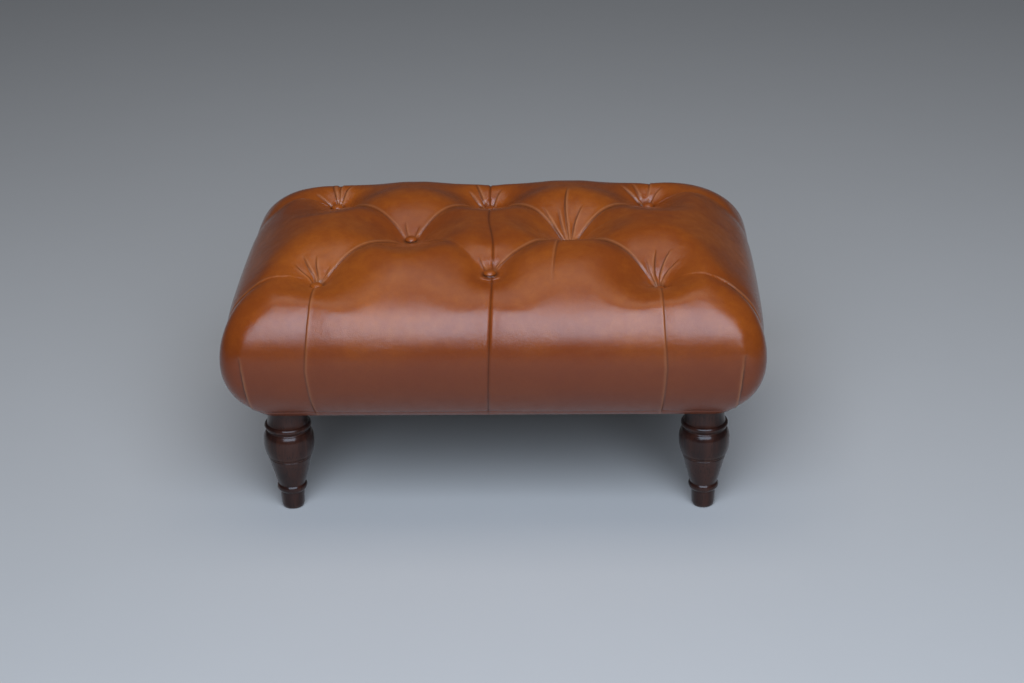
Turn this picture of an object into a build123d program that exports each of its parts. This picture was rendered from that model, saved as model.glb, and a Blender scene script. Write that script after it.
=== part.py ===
"""Buttoned leather footstool on four turned legs.

Millimetres. Origin on the floor under the middle of the stool, +X along its length, -Y towards
its front, +Z up. A beech box frame carries a plywood deck. Foam, wadding and a two-piece leather
cover lie over both, and eight covered buttons are pulled down into the foam by twines that are
tied off under the deck.
"""

import os
from functools import cache
from math import sqrt

from build123d import *

# ---- driving dimensions -------------------------------------------------------------------

BODY_LENGTH = 720.0
BODY_DEPTH = 464.0
CROWN_Z = 372.0
WIDEST_Z = 244.0
FRAME_Z = 160.0
SIDE_RADIUS = 110.0
CROWN_REACH = 150.0
CORNER_RADIUS = 30.0

LEATHER = 2.0
WADDING = 6.0
PLY_GAP = 0.3
COVER_HEM = 16.0
HEM_THICKNESS = 1.5

RAIL_THICKNESS = 22.0
RAIL_HEIGHT = 90.0
FRAME_CORNER = 20.0
CENTRE_RAIL_X = 30.0
CENTRE_RAIL_HEIGHT = 60.0
DECK_THICKNESS = 12.0
OVERHANG = SIDE_RADIUS - sqrt(SIDE_RADIUS**2 - (WIDEST_Z - FRAME_Z) ** 2)
FRAME_ROOM = OVERHANG + LEATHER + 2.0
FRAME_LENGTH = BODY_LENGTH - 2 * FRAME_ROOM
FRAME_DEPTH = BODY_DEPTH - 2 * FRAME_ROOM
DECK_Z = FRAME_Z + RAIL_HEIGHT
DECK_TOP_Z = DECK_Z + DECK_THICKNESS
PAD_BASE_Z = FRAME_Z + 8.0

LEG_X = 284.0
LEG_Y = 153.0
BLOCK_HEIGHT = 45.0
BLOCK_GRIP = 68.0
BLOCK_NOSE = 26.0

BOLT_RADIUS = 4.0
BOLT_LENGTH = 85.0
BOLT_LOW_Z = 122.0
TEE_NUT_FLANGE_RADIUS = 10.0
TEE_NUT_FLANGE = 1.5
TEE_NUT_BARREL_RADIUS = 5.2
TEE_NUT_BARREL = 10.0

DOWEL_RADIUS = 5.0
DOWEL_LENGTH = 50.0
DOWEL_HEIGHTS = (FRAME_Z + 24.0, FRAME_Z + 66.0)
DOWEL_INSET = 4.0

SCREW_RADIUS = 2.0
SCREW_HEAD_RADIUS = 4.2
SCREW_HEAD_HEIGHT = 2.6
DECK_SCREW_LENGTH = 38.0
DECK_SCREW_ALONG = (-240.0, -80.0, 80.0, 240.0)
BLOCK_SCREW_LENGTH = 50.0
BLOCK_SCREW_REACH = 34.0
BLOCK_SCREW_ALONG = 52.0
BLOCK_SCREW_HEIGHTS = (FRAME_Z + 12.0, FRAME_Z + 33.0)
SCREW_POCKET = 30.0
HEAD_ROOM = 0.4

BUTTON_RADIUS = 8.5
BUTTON_DOME = 3.6
BUTTON_RIM = 2.2
BUTTON_SKIN = 1.0
WELL_FLOOR_RADIUS = 9.5
WELL_FLARE = 0.64
TWINE_RADIUS = 1.0
TWINE_HOLE_RADIUS = 4.0
EYE_BORE_RADIUS = 3.6
EYE_RADIUS = 2.6
EYE_WIRE = 0.7
EYE_DROP = 4.0
TOGGLE_RADIUS = 4.0
TOGGLE_LENGTH = 22.0

DUST_COVER = 0.7
DUST_COVER_INSET = 7.0
LEG_CLEARANCE = 1.0
LEG_TOP_RADIUS = 27.5
STAPLE_CROWN = 10.0
STAPLE_WIRE = 1.0
STAPLE_DEPTH = 8.0
STAPLE_PITCH = 60.0

# Where each button sits: x, y and the height of the rim's underside.
BUTTONS = {
    "front_left": (-234.0, -143.0, 326.0),
    "front_centre": (-3.0, -143.0, 343.0),
    "front_right": (222.0, -143.0, 317.0),
    "middle_left": (-117.5, -4.0, 334.0),
    "middle_right": (102.5, -4.0, 325.0),
    "rear_left": (-233.0, 122.0, 332.0),
    "rear_centre": (-13.0, 122.0, 327.5),
    "rear_right": (214.0, 122.0, 331.0),
}

LEGS = {
    "front_left": (-LEG_X, -LEG_Y),
    "front_right": (LEG_X, -LEG_Y),
    "rear_left": (-LEG_X, LEG_Y),
    "rear_right": (LEG_X, LEG_Y),
}


# ---- helpers ------------------------------------------------------------------------------

def block(x_range, y_range, z_range):
    """A box from its lowest and highest values on each axis."""
    (x0, x1), (y0, y1), (z0, z1) = x_range, y_range, z_range
    centre = Pos((x0 + x1) / 2, (y0 + y1) / 2, (z0 + z1) / 2)
    return centre * Box(x1 - x0, y1 - y0, z1 - z0)


def rod(x, y, low, high, radius):
    """An upright cylinder."""
    return Pos(x, y, (low + high) / 2) * Cylinder(radius, high - low)


def turned(profile_wire):
    """A solid turned about the Z axis from a closed outline in the XZ plane."""
    return revolve(make_face(profile_wire), axis=Axis.Z)


def screw(length):
    """A countersunk screw along -Z, with the top of its head at the origin."""
    outline = Polyline(
        (0, 0),
        (SCREW_HEAD_RADIUS, 0),
        (SCREW_RADIUS, -SCREW_HEAD_HEIGHT),
        (SCREW_RADIUS, -length + 3 * SCREW_RADIUS),
        (0, -length),
        close=True,
    )
    return turned(Plane.XZ * outline)


# ---- the stuffed shape --------------------------------------------------------------------

def edge_profile(width, depth):
    """The shape's upright outline across one axis, from its underside up to the flat crown.

    width is the outline's whole width under the leather's outer face, and depth is how far the
    layer lies inside that face. A round side of one radius runs up into a wider crown arc.
    """
    side = SIDE_RADIUS - depth
    side_x = width / 2 - SIDE_RADIUS
    crown_x = width / 2 - CROWN_REACH
    rise = CROWN_Z - WIDEST_Z
    reach = side_x - crown_x
    crown_radius = (rise**2 + reach**2 - SIDE_RADIUS**2) / (2 * (rise - SIDE_RADIUS))
    crown_low = CROWN_Z - crown_radius
    crown = crown_radius - depth
    lean = Vector(reach, WIDEST_Z - crown_low).normalized()
    half_lean = (lean + Vector(0, 1)).normalized()
    base_x = side_x + sqrt(side**2 - (WIDEST_Z - FRAME_Z) ** 2)
    shoulder = (side_x + side * lean.X, WIDEST_Z + side * lean.Y)
    over = (crown_x + crown * half_lean.X, crown_low + crown * half_lean.Y)
    top = (crown_x, crown_low + crown)
    right = [
        ThreePointArc((base_x, FRAME_Z), (side_x + side, WIDEST_Z), shoulder),
        ThreePointArc(shoulder, over, top),
    ]
    left = [mirror(run, about=Plane.YZ) for run in right]
    flat_top = Line(top, (-crown_x, top[1]))
    base = Line((-base_x, FRAME_Z), (base_x, FRAME_Z))
    return Wire([edge for run in [*right, flat_top, *left, base] for edge in run.edges()])


@cache
def stuffed_shape(depth):
    """The closed rounded shape that a layer has at its outer face, without button wells."""
    along_y = extrude(Plane.XZ * make_face(edge_profile(BODY_LENGTH, depth)), BODY_DEPTH, both=True)
    along_x = extrude(Plane.YZ * make_face(edge_profile(BODY_DEPTH, depth)), BODY_LENGTH, both=True)
    plan = RectangleRounded(
        BODY_LENGTH - 2 * depth, BODY_DEPTH - 2 * depth, CORNER_RADIUS - depth
    )
    return along_y & along_x & extrude(plan, 2 * CROWN_Z)


def button_wells(depth):
    """The flared hollows under the eight buttons, wider and lower for each deeper layer."""
    wells = []
    for x, y, seat in BUTTONS.values():
        height = CROWN_Z + 2.0 - (seat - depth)
        radius = WELL_FLOOR_RADIUS + depth
        well = Cone(radius, radius + WELL_FLARE * height, height)
        wells.append(Pos(x, y, seat - depth + height / 2) * well)
    return wells


def leg_clearances(low, high, radius=LEG_TOP_RADIUS + LEG_CLEARANCE):
    """Round cut-outs about the four legs."""
    return [rod(x, y, low, high, radius) for x, y in LEGS.values()]


def frame_envelope(extra=PLY_GAP):
    """The space that the frame and deck take up, with room to spare all round."""
    half_length = FRAME_LENGTH / 2 + extra
    half_depth = FRAME_DEPTH / 2 + extra
    span_x = (-half_length, half_length)
    span_y = (-half_depth, half_depth)
    return block(span_x, span_y, (FRAME_Z - 20, DECK_TOP_Z + extra))


# ---- frame --------------------------------------------------------------------------------

def frame_plan(low, high, inset=0.0):
    """The frame's rounded outline in plan, as a block between two heights."""
    outline = RectangleRounded(
        FRAME_LENGTH - 2 * inset, FRAME_DEPTH - 2 * inset, FRAME_CORNER - inset
    )
    return extrude(Pos(0, 0, low) * outline, high - low)


def rail_dowels(radius=DOWEL_RADIUS):
    """Two dowels in each corner joint, through the end rails into the long rails."""
    pins = []
    for side in (-1, 1):
        for end in (-1, 1):
            for z in DOWEL_HEIGHTS:
                x = end * (FRAME_LENGTH / 2 - RAIL_THICKNESS / 2)
                y = side * (FRAME_DEPTH / 2 - DOWEL_LENGTH / 2 - DOWEL_INSET)
                pin = Cylinder(radius, DOWEL_LENGTH, rotation=(90, 0, 0))
                pins.append(Pos(x, y, z) * pin)
    return pins


def deck_screw_places():
    """Ten places for screws down through the deck into the rails."""
    edge_y = FRAME_DEPTH / 2 - RAIL_THICKNESS / 2
    edge_x = FRAME_LENGTH / 2 - RAIL_THICKNESS / 2
    places = [(x, side * edge_y) for side in (-1, 1) for x in DECK_SCREW_ALONG]
    return places + [(-edge_x, 0.0), (edge_x, 0.0)]


def deck_screws():
    """The ten deck screws."""
    return [Pos(x, y, DECK_TOP_Z) * screw(DECK_SCREW_LENGTH) for x, y in deck_screw_places()]


def block_screw_seats():
    """Where the corner blocks' level screws have their heads, and the turn that aims each."""
    inner_x = FRAME_LENGTH / 2 - RAIL_THICKNESS
    inner_y = FRAME_DEPTH / 2 - RAIL_THICKNESS
    seats = []
    for end in (-1, 1):
        for side in (-1, 1):
            for z in BLOCK_SCREW_HEIGHTS:
                aim_side = Rot(90 * side, 0, 0)
                aim_end = Rot(0, -90 * end, 0)
                near_x = end * (inner_x - BLOCK_SCREW_ALONG)
                near_y = side * (inner_y - BLOCK_SCREW_ALONG)
                seats.append(Pos(near_x, side * (inner_y - BLOCK_SCREW_REACH), z) * aim_side)
                seats.append(Pos(end * (inner_x - BLOCK_SCREW_REACH), near_y, z) * aim_end)
    return seats


def block_screws():
    """Two level screws from each corner block into each rail it meets."""
    return [seat * screw(BLOCK_SCREW_LENGTH) for seat in block_screw_seats()]


def screw_pockets():
    """The counterbores that let the block screws' heads in."""
    pocket = rod(0, 0, 0, SCREW_POCKET, SCREW_HEAD_RADIUS + HEAD_ROOM)
    return [seat * pocket for seat in block_screw_seats()]


def long_rail(side):
    """The front (-1) or rear (1) rail, over the full length, with rounded outer corners."""
    outer = side * FRAME_DEPTH / 2
    inner = outer - side * RAIL_THICKNESS
    span_y = (min(outer, inner), max(outer, inner))
    half = FRAME_LENGTH / 2
    rail = block((-half, half), span_y, (FRAME_Z, DECK_Z)) & frame_plan(FRAME_Z, DECK_Z)
    return rail - rail_dowels() - deck_screws() - block_screws() - all_staples()


def end_rail(end):
    """The left (-1) or right (1) rail, between the long rails."""
    outer = end * FRAME_LENGTH / 2
    inner = outer - end * RAIL_THICKNESS
    span_x = (min(outer, inner), max(outer, inner))
    half = FRAME_DEPTH / 2 - RAIL_THICKNESS
    rail = block(span_x, (-half, half), (FRAME_Z, DECK_Z))
    return rail - rail_dowels() - deck_screws() - block_screws() - all_staples()


def centre_rail():
    """The cross rail that stiffens the middle of the deck."""
    half = FRAME_DEPTH / 2 - RAIL_THICKNESS
    low_x = CENTRE_RAIL_X - RAIL_THICKNESS / 2
    span_z = (DECK_Z - CENTRE_RAIL_HEIGHT, DECK_Z)
    return block((low_x, low_x + RAIL_THICKNESS), (-half, half), span_z)


def corner_block(end, side):
    """A five-sided block glued and screwed into a corner of the frame, bored for a leg bolt."""
    x0 = FRAME_LENGTH / 2 - RAIL_THICKNESS
    y0 = FRAME_DEPTH / 2 - RAIL_THICKNESS
    corners = [
        (x0, y0),
        (x0 - BLOCK_GRIP, y0),
        (x0 - BLOCK_GRIP, y0 - BLOCK_NOSE),
        (x0 - BLOCK_NOSE, y0 - BLOCK_GRIP),
        (x0, y0 - BLOCK_GRIP),
    ]
    outline = Polyline([(end * x, side * y) for x, y in corners], close=True)
    solid = extrude(Pos(0, 0, FRAME_Z) * make_face(outline), BLOCK_HEIGHT, dir=(0, 0, 1))
    return solid - block_screws() - screw_pockets() - leg_bolts() - tee_nut_blanks()


def deck_board():
    """The plywood deck, bored for the button twines and countersunk for its screws."""
    board = frame_plan(DECK_Z, DECK_TOP_Z)
    bores = [rod(x, y, DECK_Z, DECK_TOP_Z, TWINE_HOLE_RADIUS) for x, y, _ in BUTTONS.values()]
    return board - bores - deck_screws()


# ---- legs and their bolts -----------------------------------------------------------------

def leg_profile():
    """The leg's outline, from foot to top: tapered foot, bead, vase, cove, ring and neck."""
    foot = Polyline((0, 0), (12.0, 0), (14.6, 1.6), (15.6, 5.0), (16.8, 25.6), (17.6, 26.6))
    bead = ThreePointArc((17.6, 26.6), (20.7, 31.8), (18.6, 36.8))
    fillet = Line((18.6, 36.8), (18.9, 38.4))
    vase_low = Spline((18.9, 38.4), (22.3, 50.0), (26.2, 66.0), (29.6, 79.0))
    groove_low = Polyline((29.6, 79.0), (29.2, 79.5), (29.5, 80.0), (30.3, 80.3), (30.6, 82.6))
    groove_high = Polyline((30.6, 82.6), (30.4, 83.2), (30.9, 83.8), (31.7, 84.0))
    vase_high = Spline((31.7, 84.0), (34.0, 94.0), (34.6, 103.0), (33.6, 112.5), (30.6, 119.0))
    cove = ThreePointArc((30.6, 119.0), (28.8, 121.2), (30.2, 123.6))
    ring = ThreePointArc((30.2, 123.6), (32.0, 127.0), (30.4, 130.4))
    step = Line((30.4, 130.4), (28.4, 131.4))
    neck = ThreePointArc((28.4, 131.4), (26.6, 143.0), (LEG_TOP_RADIUS, 153.0))
    top = Polyline((LEG_TOP_RADIUS, 153.0), (LEG_TOP_RADIUS, FRAME_Z), (0, FRAME_Z), (0, 0))
    return [
        foot, bead, fillet, vase_low, groove_low, groove_high,
        vase_high, cove, ring, step, neck, top,
    ]


def leg(x, y):
    """One turned leg, bored for its bolt."""
    outline = Wire([edge for run in leg_profile() for edge in run.edges()])
    solid = revolve(Plane.XZ * make_face(outline), axis=Axis.Z)
    return Pos(x, y, 0) * solid - leg_bolts()


def leg_bolts():
    """One upright hanger bolt for each leg, half in the leg and half in the tee nut."""
    high = BOLT_LOW_Z + BOLT_LENGTH
    return [rod(x, y, BOLT_LOW_Z, high, BOLT_RADIUS) for x, y in LEGS.values()]


def tee_nut_blanks():
    """The outer shape of the four tee nuts, seated in the tops of the corner blocks."""
    top = FRAME_Z + BLOCK_HEIGHT
    blanks = []
    for x, y in LEGS.values():
        barrel = rod(x, y, top - TEE_NUT_BARREL, top, TEE_NUT_BARREL_RADIUS)
        flange = rod(x, y, top - TEE_NUT_FLANGE, top, TEE_NUT_FLANGE_RADIUS)
        blanks.append(barrel + flange)
    return blanks


def tee_nuts():
    """The tee nuts, open for the bolts."""
    return [blank - leg_bolts() for blank in tee_nut_blanks()]


# ---- stuffing -----------------------------------------------------------------------------

def twine_bores(radius, low=DECK_TOP_Z):
    """An upright bore under each button, up to the button's own underside."""
    return [rod(x, y, low, seat + 1.0, radius) for x, y, seat in BUTTONS.values()]


def foam_core():
    """The top foam, with a well cut for each button and a bore for its twine."""
    depth = LEATHER + WADDING + 2 * PLY_GAP
    span_x = (-BODY_LENGTH, BODY_LENGTH)
    above = block(span_x, span_x, (DECK_TOP_Z + PLY_GAP, CROWN_Z))
    return (stuffed_shape(depth) & above) - button_wells(depth) - twine_bores(TWINE_HOLE_RADIUS)


def side_pad(end, side):
    """A foam pad on the outside of one rail: end picks left or right, side front or rear."""
    depth = LEATHER + WADDING + 2 * PLY_GAP
    far = BODY_LENGTH
    across = FRAME_DEPTH / 2 + PLY_GAP
    if side:
        near, beyond = sorted((side * across, side * far))
        zone = block((-far, far), (near, beyond), (PAD_BASE_Z, DECK_TOP_Z))
    else:
        near, beyond = sorted((end * (FRAME_LENGTH / 2 + PLY_GAP), end * far))
        reach = across - PLY_GAP
        zone = block((near, beyond), (-reach, reach), (PAD_BASE_Z, DECK_TOP_Z))
    return (stuffed_shape(depth) & zone) - frame_envelope()


def wadding():
    """Polyester wadding between the foam and the leather, drawn down over the rails."""
    outer_depth = LEATHER + PLY_GAP
    inner_depth = LEATHER + WADDING + PLY_GAP
    outer = stuffed_shape(outer_depth) - button_wells(outer_depth)
    inner = stuffed_shape(inner_depth) - button_wells(inner_depth)
    below = block((-BODY_LENGTH, BODY_LENGTH), (-BODY_LENGTH, BODY_LENGTH), (0, PAD_BASE_Z))
    return outer - inner - frame_envelope() - below - twine_bores(TWINE_HOLE_RADIUS)


# ---- leather cover ------------------------------------------------------------------------

def cover_shell():
    """The whole leather cover with its wells, turned in under the rails as a stapled hem."""
    outer = stuffed_shape(0) - button_wells(0)
    inner = stuffed_shape(LEATHER) - button_wells(LEATHER)
    half_length = BODY_LENGTH / 2 - OVERHANG
    half_depth = BODY_DEPTH / 2 - OVERHANG
    hem = Rectangle(2 * half_length, 2 * half_depth)
    opening = Rectangle(2 * (half_length - COVER_HEM), 2 * (half_depth - COVER_HEM))
    hem_sheet = extrude(Pos(0, 0, FRAME_Z) * (hem - opening), -HEM_THICKNESS)
    cuts = leg_clearances(FRAME_Z - 10, FRAME_Z) + cover_staples()
    return (outer - inner - twine_bores(EYE_BORE_RADIUS)) + (hem_sheet - cuts)


def cover_half(shell, end):
    """The left (-1) or right (1) half of the cover, cut at the centre seam."""
    near, beyond = sorted((0.0, end * BODY_LENGTH))
    return shell & block((near, beyond), (-BODY_LENGTH, BODY_LENGTH), (0, 2 * CROWN_Z))


# ---- buttons ------------------------------------------------------------------------------

def button_dome(skin):
    """The button's domed outline about Z: a low drum under a spherical cap.

    skin is how much larger it is than the steel shell. The rim's underside is at z = 0.
    """
    radius = BUTTON_RADIUS - BUTTON_SKIN + skin
    height = BUTTON_RIM + BUTTON_DOME - BUTTON_SKIN + skin
    rise = height - BUTTON_RIM
    ball_radius = (radius**2 + rise**2) / (2 * rise)
    ball = Pos(0, 0, height - ball_radius) * Sphere(ball_radius)
    return ball & rod(0, 0, 0, height, radius)


def button_cap(x, y, seat):
    """The leather skin of one button, wrapped over its steel shell."""
    return Pos(x, y, seat) * (button_dome(BUTTON_SKIN) - button_dome(0))


def button_cores():
    """The steel shells under the leather, each with the eye that its twine passes through."""
    cores = []
    for x, y, seat in BUTTONS.values():
        eye = Pos(0, 0, -EYE_DROP) * Torus(EYE_RADIUS, EYE_WIRE, rotation=(90, 0, 0))
        stem = rod(0, 0, EYE_RADIUS - EYE_DROP, 0, 2 * EYE_WIRE)
        cores.append(Pos(x, y, seat) * (button_dome(0) + stem + eye))
    return cores


def twine_runs():
    """The twines, from each button's eye to its toggle under the deck."""
    drop = EYE_DROP + EYE_RADIUS + EYE_WIRE
    return [rod(x, y, DECK_Z, seat - drop, TWINE_RADIUS) for x, y, seat in BUTTONS.values()]


def twine_toggles():
    """The wooden toggles that hold the twines tight under the deck."""
    toggles = []
    for x, y, _ in BUTTONS.values():
        toggle = Cylinder(TOGGLE_RADIUS, TOGGLE_LENGTH, rotation=(0, 90, 0))
        toggles.append(Pos(x, y, DECK_Z - TOGGLE_RADIUS) * toggle)
    return toggles


# ---- underside ----------------------------------------------------------------------------

def staple(x, y, z, along_x):
    """A wire staple with its crown's underside at z and its two legs pointing up."""
    half = STAPLE_CROWN / 2
    wire = STAPLE_WIRE / 2
    crown = block((-half, half), (-wire, wire), (-STAPLE_WIRE, 0))
    legs = [
        block((s * (half - wire) - wire, s * (half - wire) + wire), (-wire, wire), (0, STAPLE_DEPTH))
        for s in (-1, 1)
    ]
    shape = crown + legs
    return Pos(x, y, z) * (shape if along_x else Rot(0, 0, 90) * shape)


def staple_row(z, inset):
    """Staples in a line all round the underside, none of them under a leg."""
    skip = LEG_TOP_RADIUS + 1.5 * STAPLE_CROWN
    half_x = FRAME_LENGTH / 2 - inset
    half_y = FRAME_DEPTH / 2 - inset
    places = []
    count_x = int(2 * half_x / STAPLE_PITCH)
    count_y = int(2 * half_y / STAPLE_PITCH)
    for i in range(count_x + 1):
        x = -half_x + 2 * half_x * i / count_x
        places += [(x, -half_y, True), (x, half_y, True)]
    for i in range(1, count_y):
        y = -half_y + 2 * half_y * i / count_y
        places += [(-half_x, y, False), (half_x, y, False)]
    clear = [
        (x, y, along)
        for x, y, along in places
        if min((x - lx) ** 2 + (y - ly) ** 2 for lx, ly in LEGS.values()) > skip**2
    ]
    return [staple(x, y, z, along) for x, y, along in clear]


@cache
def cover_staples():
    """The staples that fix the leather hem to the undersides of the rails."""
    return staple_row(FRAME_Z - HEM_THICKNESS, 5.0)


@cache
def dust_cover_staples():
    """The staples that fix the dust cover, in from the leather's hem."""
    return staple_row(FRAME_Z - HEM_THICKNESS - STAPLE_WIRE - DUST_COVER, 17.0)


def all_staples():
    """Both rows of staples."""
    return cover_staples() + dust_cover_staples()


def dust_cover():
    """A black cloth over the open underside of the frame, cut round the legs."""
    top = FRAME_Z - HEM_THICKNESS - STAPLE_WIRE
    sheet = frame_plan(top - DUST_COVER, top, DUST_COVER_INSET)
    return sheet - leg_clearances(top - 5, top + 5) - dust_cover_staples()


# ---- assembly -----------------------------------------------------------------------------

def build():
    """Every node of the stool, by name."""
    shell = cover_shell()
    nodes = {
        "front_rail": long_rail(-1),
        "rear_rail": long_rail(1),
        "left_rail": end_rail(-1),
        "right_rail": end_rail(1),
        "centre_rail": centre_rail(),
        "rail_dowels": rail_dowels(),
        "deck_board": deck_board(),
        "deck_screws": deck_screws(),
        "corner_block_screws": block_screws(),
        "leg_bolts": leg_bolts(),
        "tee_nuts": tee_nuts(),
        "foam_core": foam_core(),
        "side_pad_front": side_pad(0, -1),
        "side_pad_rear": side_pad(0, 1),
        "side_pad_left": side_pad(-1, 0),
        "side_pad_right": side_pad(1, 0),
        "wadding": wadding(),
        "cover_left": cover_half(shell, -1),
        "cover_right": cover_half(shell, 1),
        "button_cores": button_cores(),
        "button_twines": twine_runs(),
        "twine_toggles": twine_toggles(),
        "cover_staples": cover_staples(),
        "dust_cover": dust_cover(),
        "dust_cover_staples": dust_cover_staples(),
    }
    for name, (x, y) in LEGS.items():
        nodes["leg_" + name] = leg(x, y)
        nodes["corner_block_" + name] = corner_block(x / abs(x), y / abs(y))
    for name, place in BUTTONS.items():
        nodes["button_" + name] = button_cap(*place)
    return nodes


os.makedirs("parts", exist_ok=True)
for node, shape in build().items():
    pieces = shape if isinstance(shape, list) else [shape]
    solids = [solid for piece in pieces for solid in piece.solids()]
    export_step(Compound(solids), f"parts/{node}.step")
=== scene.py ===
"""Looks of a deep-buttoned leather footstool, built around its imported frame.

Metres, in the frame's own axes: origin on the floor under the stool, +X along its length, -Y to
its front and +Z up. The leather cover is one grid of quads that is shaped over the stuffing,
puffed by a short cloth simulation, subdivided, and then given its pleats, puckers and seam.
"""

from math import cos, pi, radians, sin, sqrt

import bmesh
import bpy
import numpy as np
from mathutils import Matrix, Vector


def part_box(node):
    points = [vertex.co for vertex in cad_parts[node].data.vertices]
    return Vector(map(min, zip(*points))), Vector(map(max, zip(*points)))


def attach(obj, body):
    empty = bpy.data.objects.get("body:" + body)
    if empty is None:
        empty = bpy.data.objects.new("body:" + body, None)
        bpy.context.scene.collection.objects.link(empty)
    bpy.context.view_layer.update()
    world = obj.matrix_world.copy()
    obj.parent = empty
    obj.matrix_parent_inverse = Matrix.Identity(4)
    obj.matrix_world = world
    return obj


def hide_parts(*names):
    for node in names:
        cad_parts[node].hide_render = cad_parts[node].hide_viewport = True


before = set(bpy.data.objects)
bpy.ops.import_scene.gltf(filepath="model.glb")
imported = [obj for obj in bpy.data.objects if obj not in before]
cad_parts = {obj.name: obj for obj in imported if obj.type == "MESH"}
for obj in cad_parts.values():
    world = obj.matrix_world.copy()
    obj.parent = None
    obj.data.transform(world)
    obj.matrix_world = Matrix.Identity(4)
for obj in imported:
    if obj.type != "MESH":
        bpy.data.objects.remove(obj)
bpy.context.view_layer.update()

bl_info = {
    "name": "Buttoned Footstool",
    "version": (1, 0, 0),
    "blender": (4, 5, 0),
    "location": "3D View > Sidebar > Footstool",
    "description": "Makes the leather, buttons, stuffing, legs' finish and stage of a footstool",
    "category": "Object",
}

BODY = "root"
PLACES = (
    "front_left", "front_centre", "front_right",
    "middle_left", "middle_right",
    "rear_left", "rear_centre", "rear_right",
)
CORNERS = ("front_left", "front_right", "rear_left", "rear_right")

COVER_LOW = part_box("cover_left")[0]
COVER_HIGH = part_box("cover_right")[1]
HALF_LENGTH = COVER_HIGH.x
HALF_DEPTH = COVER_HIGH.y
CROWN_Z = COVER_HIGH.z
HEM_Z = COVER_LOW.z
RAIL_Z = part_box("front_rail")[0].z
DECK_TOP_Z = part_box("deck_board")[1].z


def seat_of(place):
    """Where a button's underside sits, from its own box in the frame."""
    low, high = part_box("button_" + place)
    return Vector(((low.x + high.x) / 2, (low.y + high.y) / 2, low.z))


def leg_axis(corner):
    """The plan position of one leg's axis."""
    low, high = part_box("leg_" + corner)
    return Vector(((low.x + high.x) / 2, (low.y + high.y) / 2))


SEATS = {place: seat_of(place) for place in PLACES}


# ---- settings -----------------------------------------------------------------------------

def length(name, description, default):
    """A length property in metres."""
    return bpy.props.FloatProperty(
        name=name, description=description, default=default, min=0.0, unit="LENGTH", precision=4
    )


def share(name, description, default):
    """A property from 0 to 1."""
    return bpy.props.FloatProperty(
        name=name, description=description, default=default, min=0.0, max=1.0, subtype="FACTOR"
    )


def colour(name, description, default):
    """A linear colour property."""
    return bpy.props.FloatVectorProperty(
        name=name, description=description, default=default, size=3, min=0.0, max=1.0,
        subtype="COLOR",
    )


class FootstoolShape(bpy.types.PropertyGroup):
    """Sizes of the stuffed body and of its tufting."""

    widest_height: length("Widest height", "Height of the body's widest level", 0.244)
    side_radius: length("Side radius", "Radius of the rounded sides", 0.110)
    crown_reach: length("Crown reach", "How far in from the sides the crown goes flat", 0.150)
    corner_radius: length("Corner radius", "Plan radius of the corners at the widest level", 0.030)
    grid_step: length("Grid step", "Width of the cover's quads before subdivision", 0.006)
    valley_depth: length("Valley depth", "Depth of the diamond valleys at their middle", 0.016)
    side_valley_depth: length("Side pleat depth", "Depth of the valleys down the sides", 0.003)
    puff_height: length("Puff height", "How far the panels stand out between the pleats", 0.005)
    sim_cap: length("Largest puff", "How far the simulation may move a point", 0.0045)
    air_pressure: bpy.props.FloatProperty(
        name="Stuffing pressure", description="Outward pressure in the simulation", default=3.0
    )


class FootstoolLeather(bpy.types.PropertyGroup):
    """Colours and finish of the hide, and the painted shade and painted highlight laid over it."""

    tan: colour("Tan", "Colour of the stretched hide", (0.405, 0.092, 0.008))
    russet: colour("Russet", "Colour of the hide's darker clouds", (0.280, 0.053, 0.005))
    # Painted shade: the side colour darkens the hide's lower sides through the low mask.
    side: colour("Side", "Deeper colour of the hide down the sides", (0.150, 0.024, 0.003))
    # Painted shade down in the folds, along the seam, round the buttons and at their rims; the
    # grain's pores also take this colour.
    crease: colour("Crease", "Colour down in the folds", (0.075, 0.018, 0.006))
    # Pull-up lightening and a painted highlight along the raised lip of each fold.
    pull_up_and_lip_highlight: colour("Pull-up", "Lighter colour where the hide is bent sharply", (0.60, 0.27, 0.12))
    gloss: share("Gloss", "Strength of the clear top finish", 0.95)


class FootstoolTimber(bpy.types.PropertyGroup):
    """Colours and finish of the turned legs and of the bare frame."""

    stain: colour("Stain", "Colour of the stained legs", (0.018, 0.0065, 0.005))
    stain_light: colour(
        "Stain, light", "Colour of the grain under the stain", (0.045, 0.014, 0.008)
    )
    beech: colour("Beech", "Colour of the bare frame", (0.62, 0.42, 0.25))
    lacquer: share("Lacquer", "Strength of the legs' lacquer", 0.6)


class FootstoolStage(bpy.types.PropertyGroup):
    """Camera, lights and floor."""

    camera_place: bpy.props.FloatVectorProperty(
        name="Camera place", description="Where the camera stands", default=(0.120, -2.702, 1.465),
        size=3, subtype="TRANSLATION", unit="LENGTH",
    )
    camera_pitch: bpy.props.FloatProperty(
        name="Camera pitch", description="How far the camera looks down",
        default=radians(25.49), unit="ROTATION",
    )
    camera_yaw: bpy.props.FloatProperty(
        name="Camera yaw", description="How far the camera is turned to the left",
        default=radians(2.138), unit="ROTATION",
    )
    camera_roll: bpy.props.FloatProperty(
        name="Camera roll", description="The camera's tilt about its own axis",
        default=radians(-1.254), unit="ROTATION",
    )
    lens: bpy.props.FloatProperty(
        name="Lens", description="Focal length on a 36 mm wide sensor, in mm", default=74.3
    )
    floor_tone: colour("Floor", "Colour of the plain floor", (0.60, 0.565, 0.53))


# ---- the stuffed shape --------------------------------------------------------------------

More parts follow.
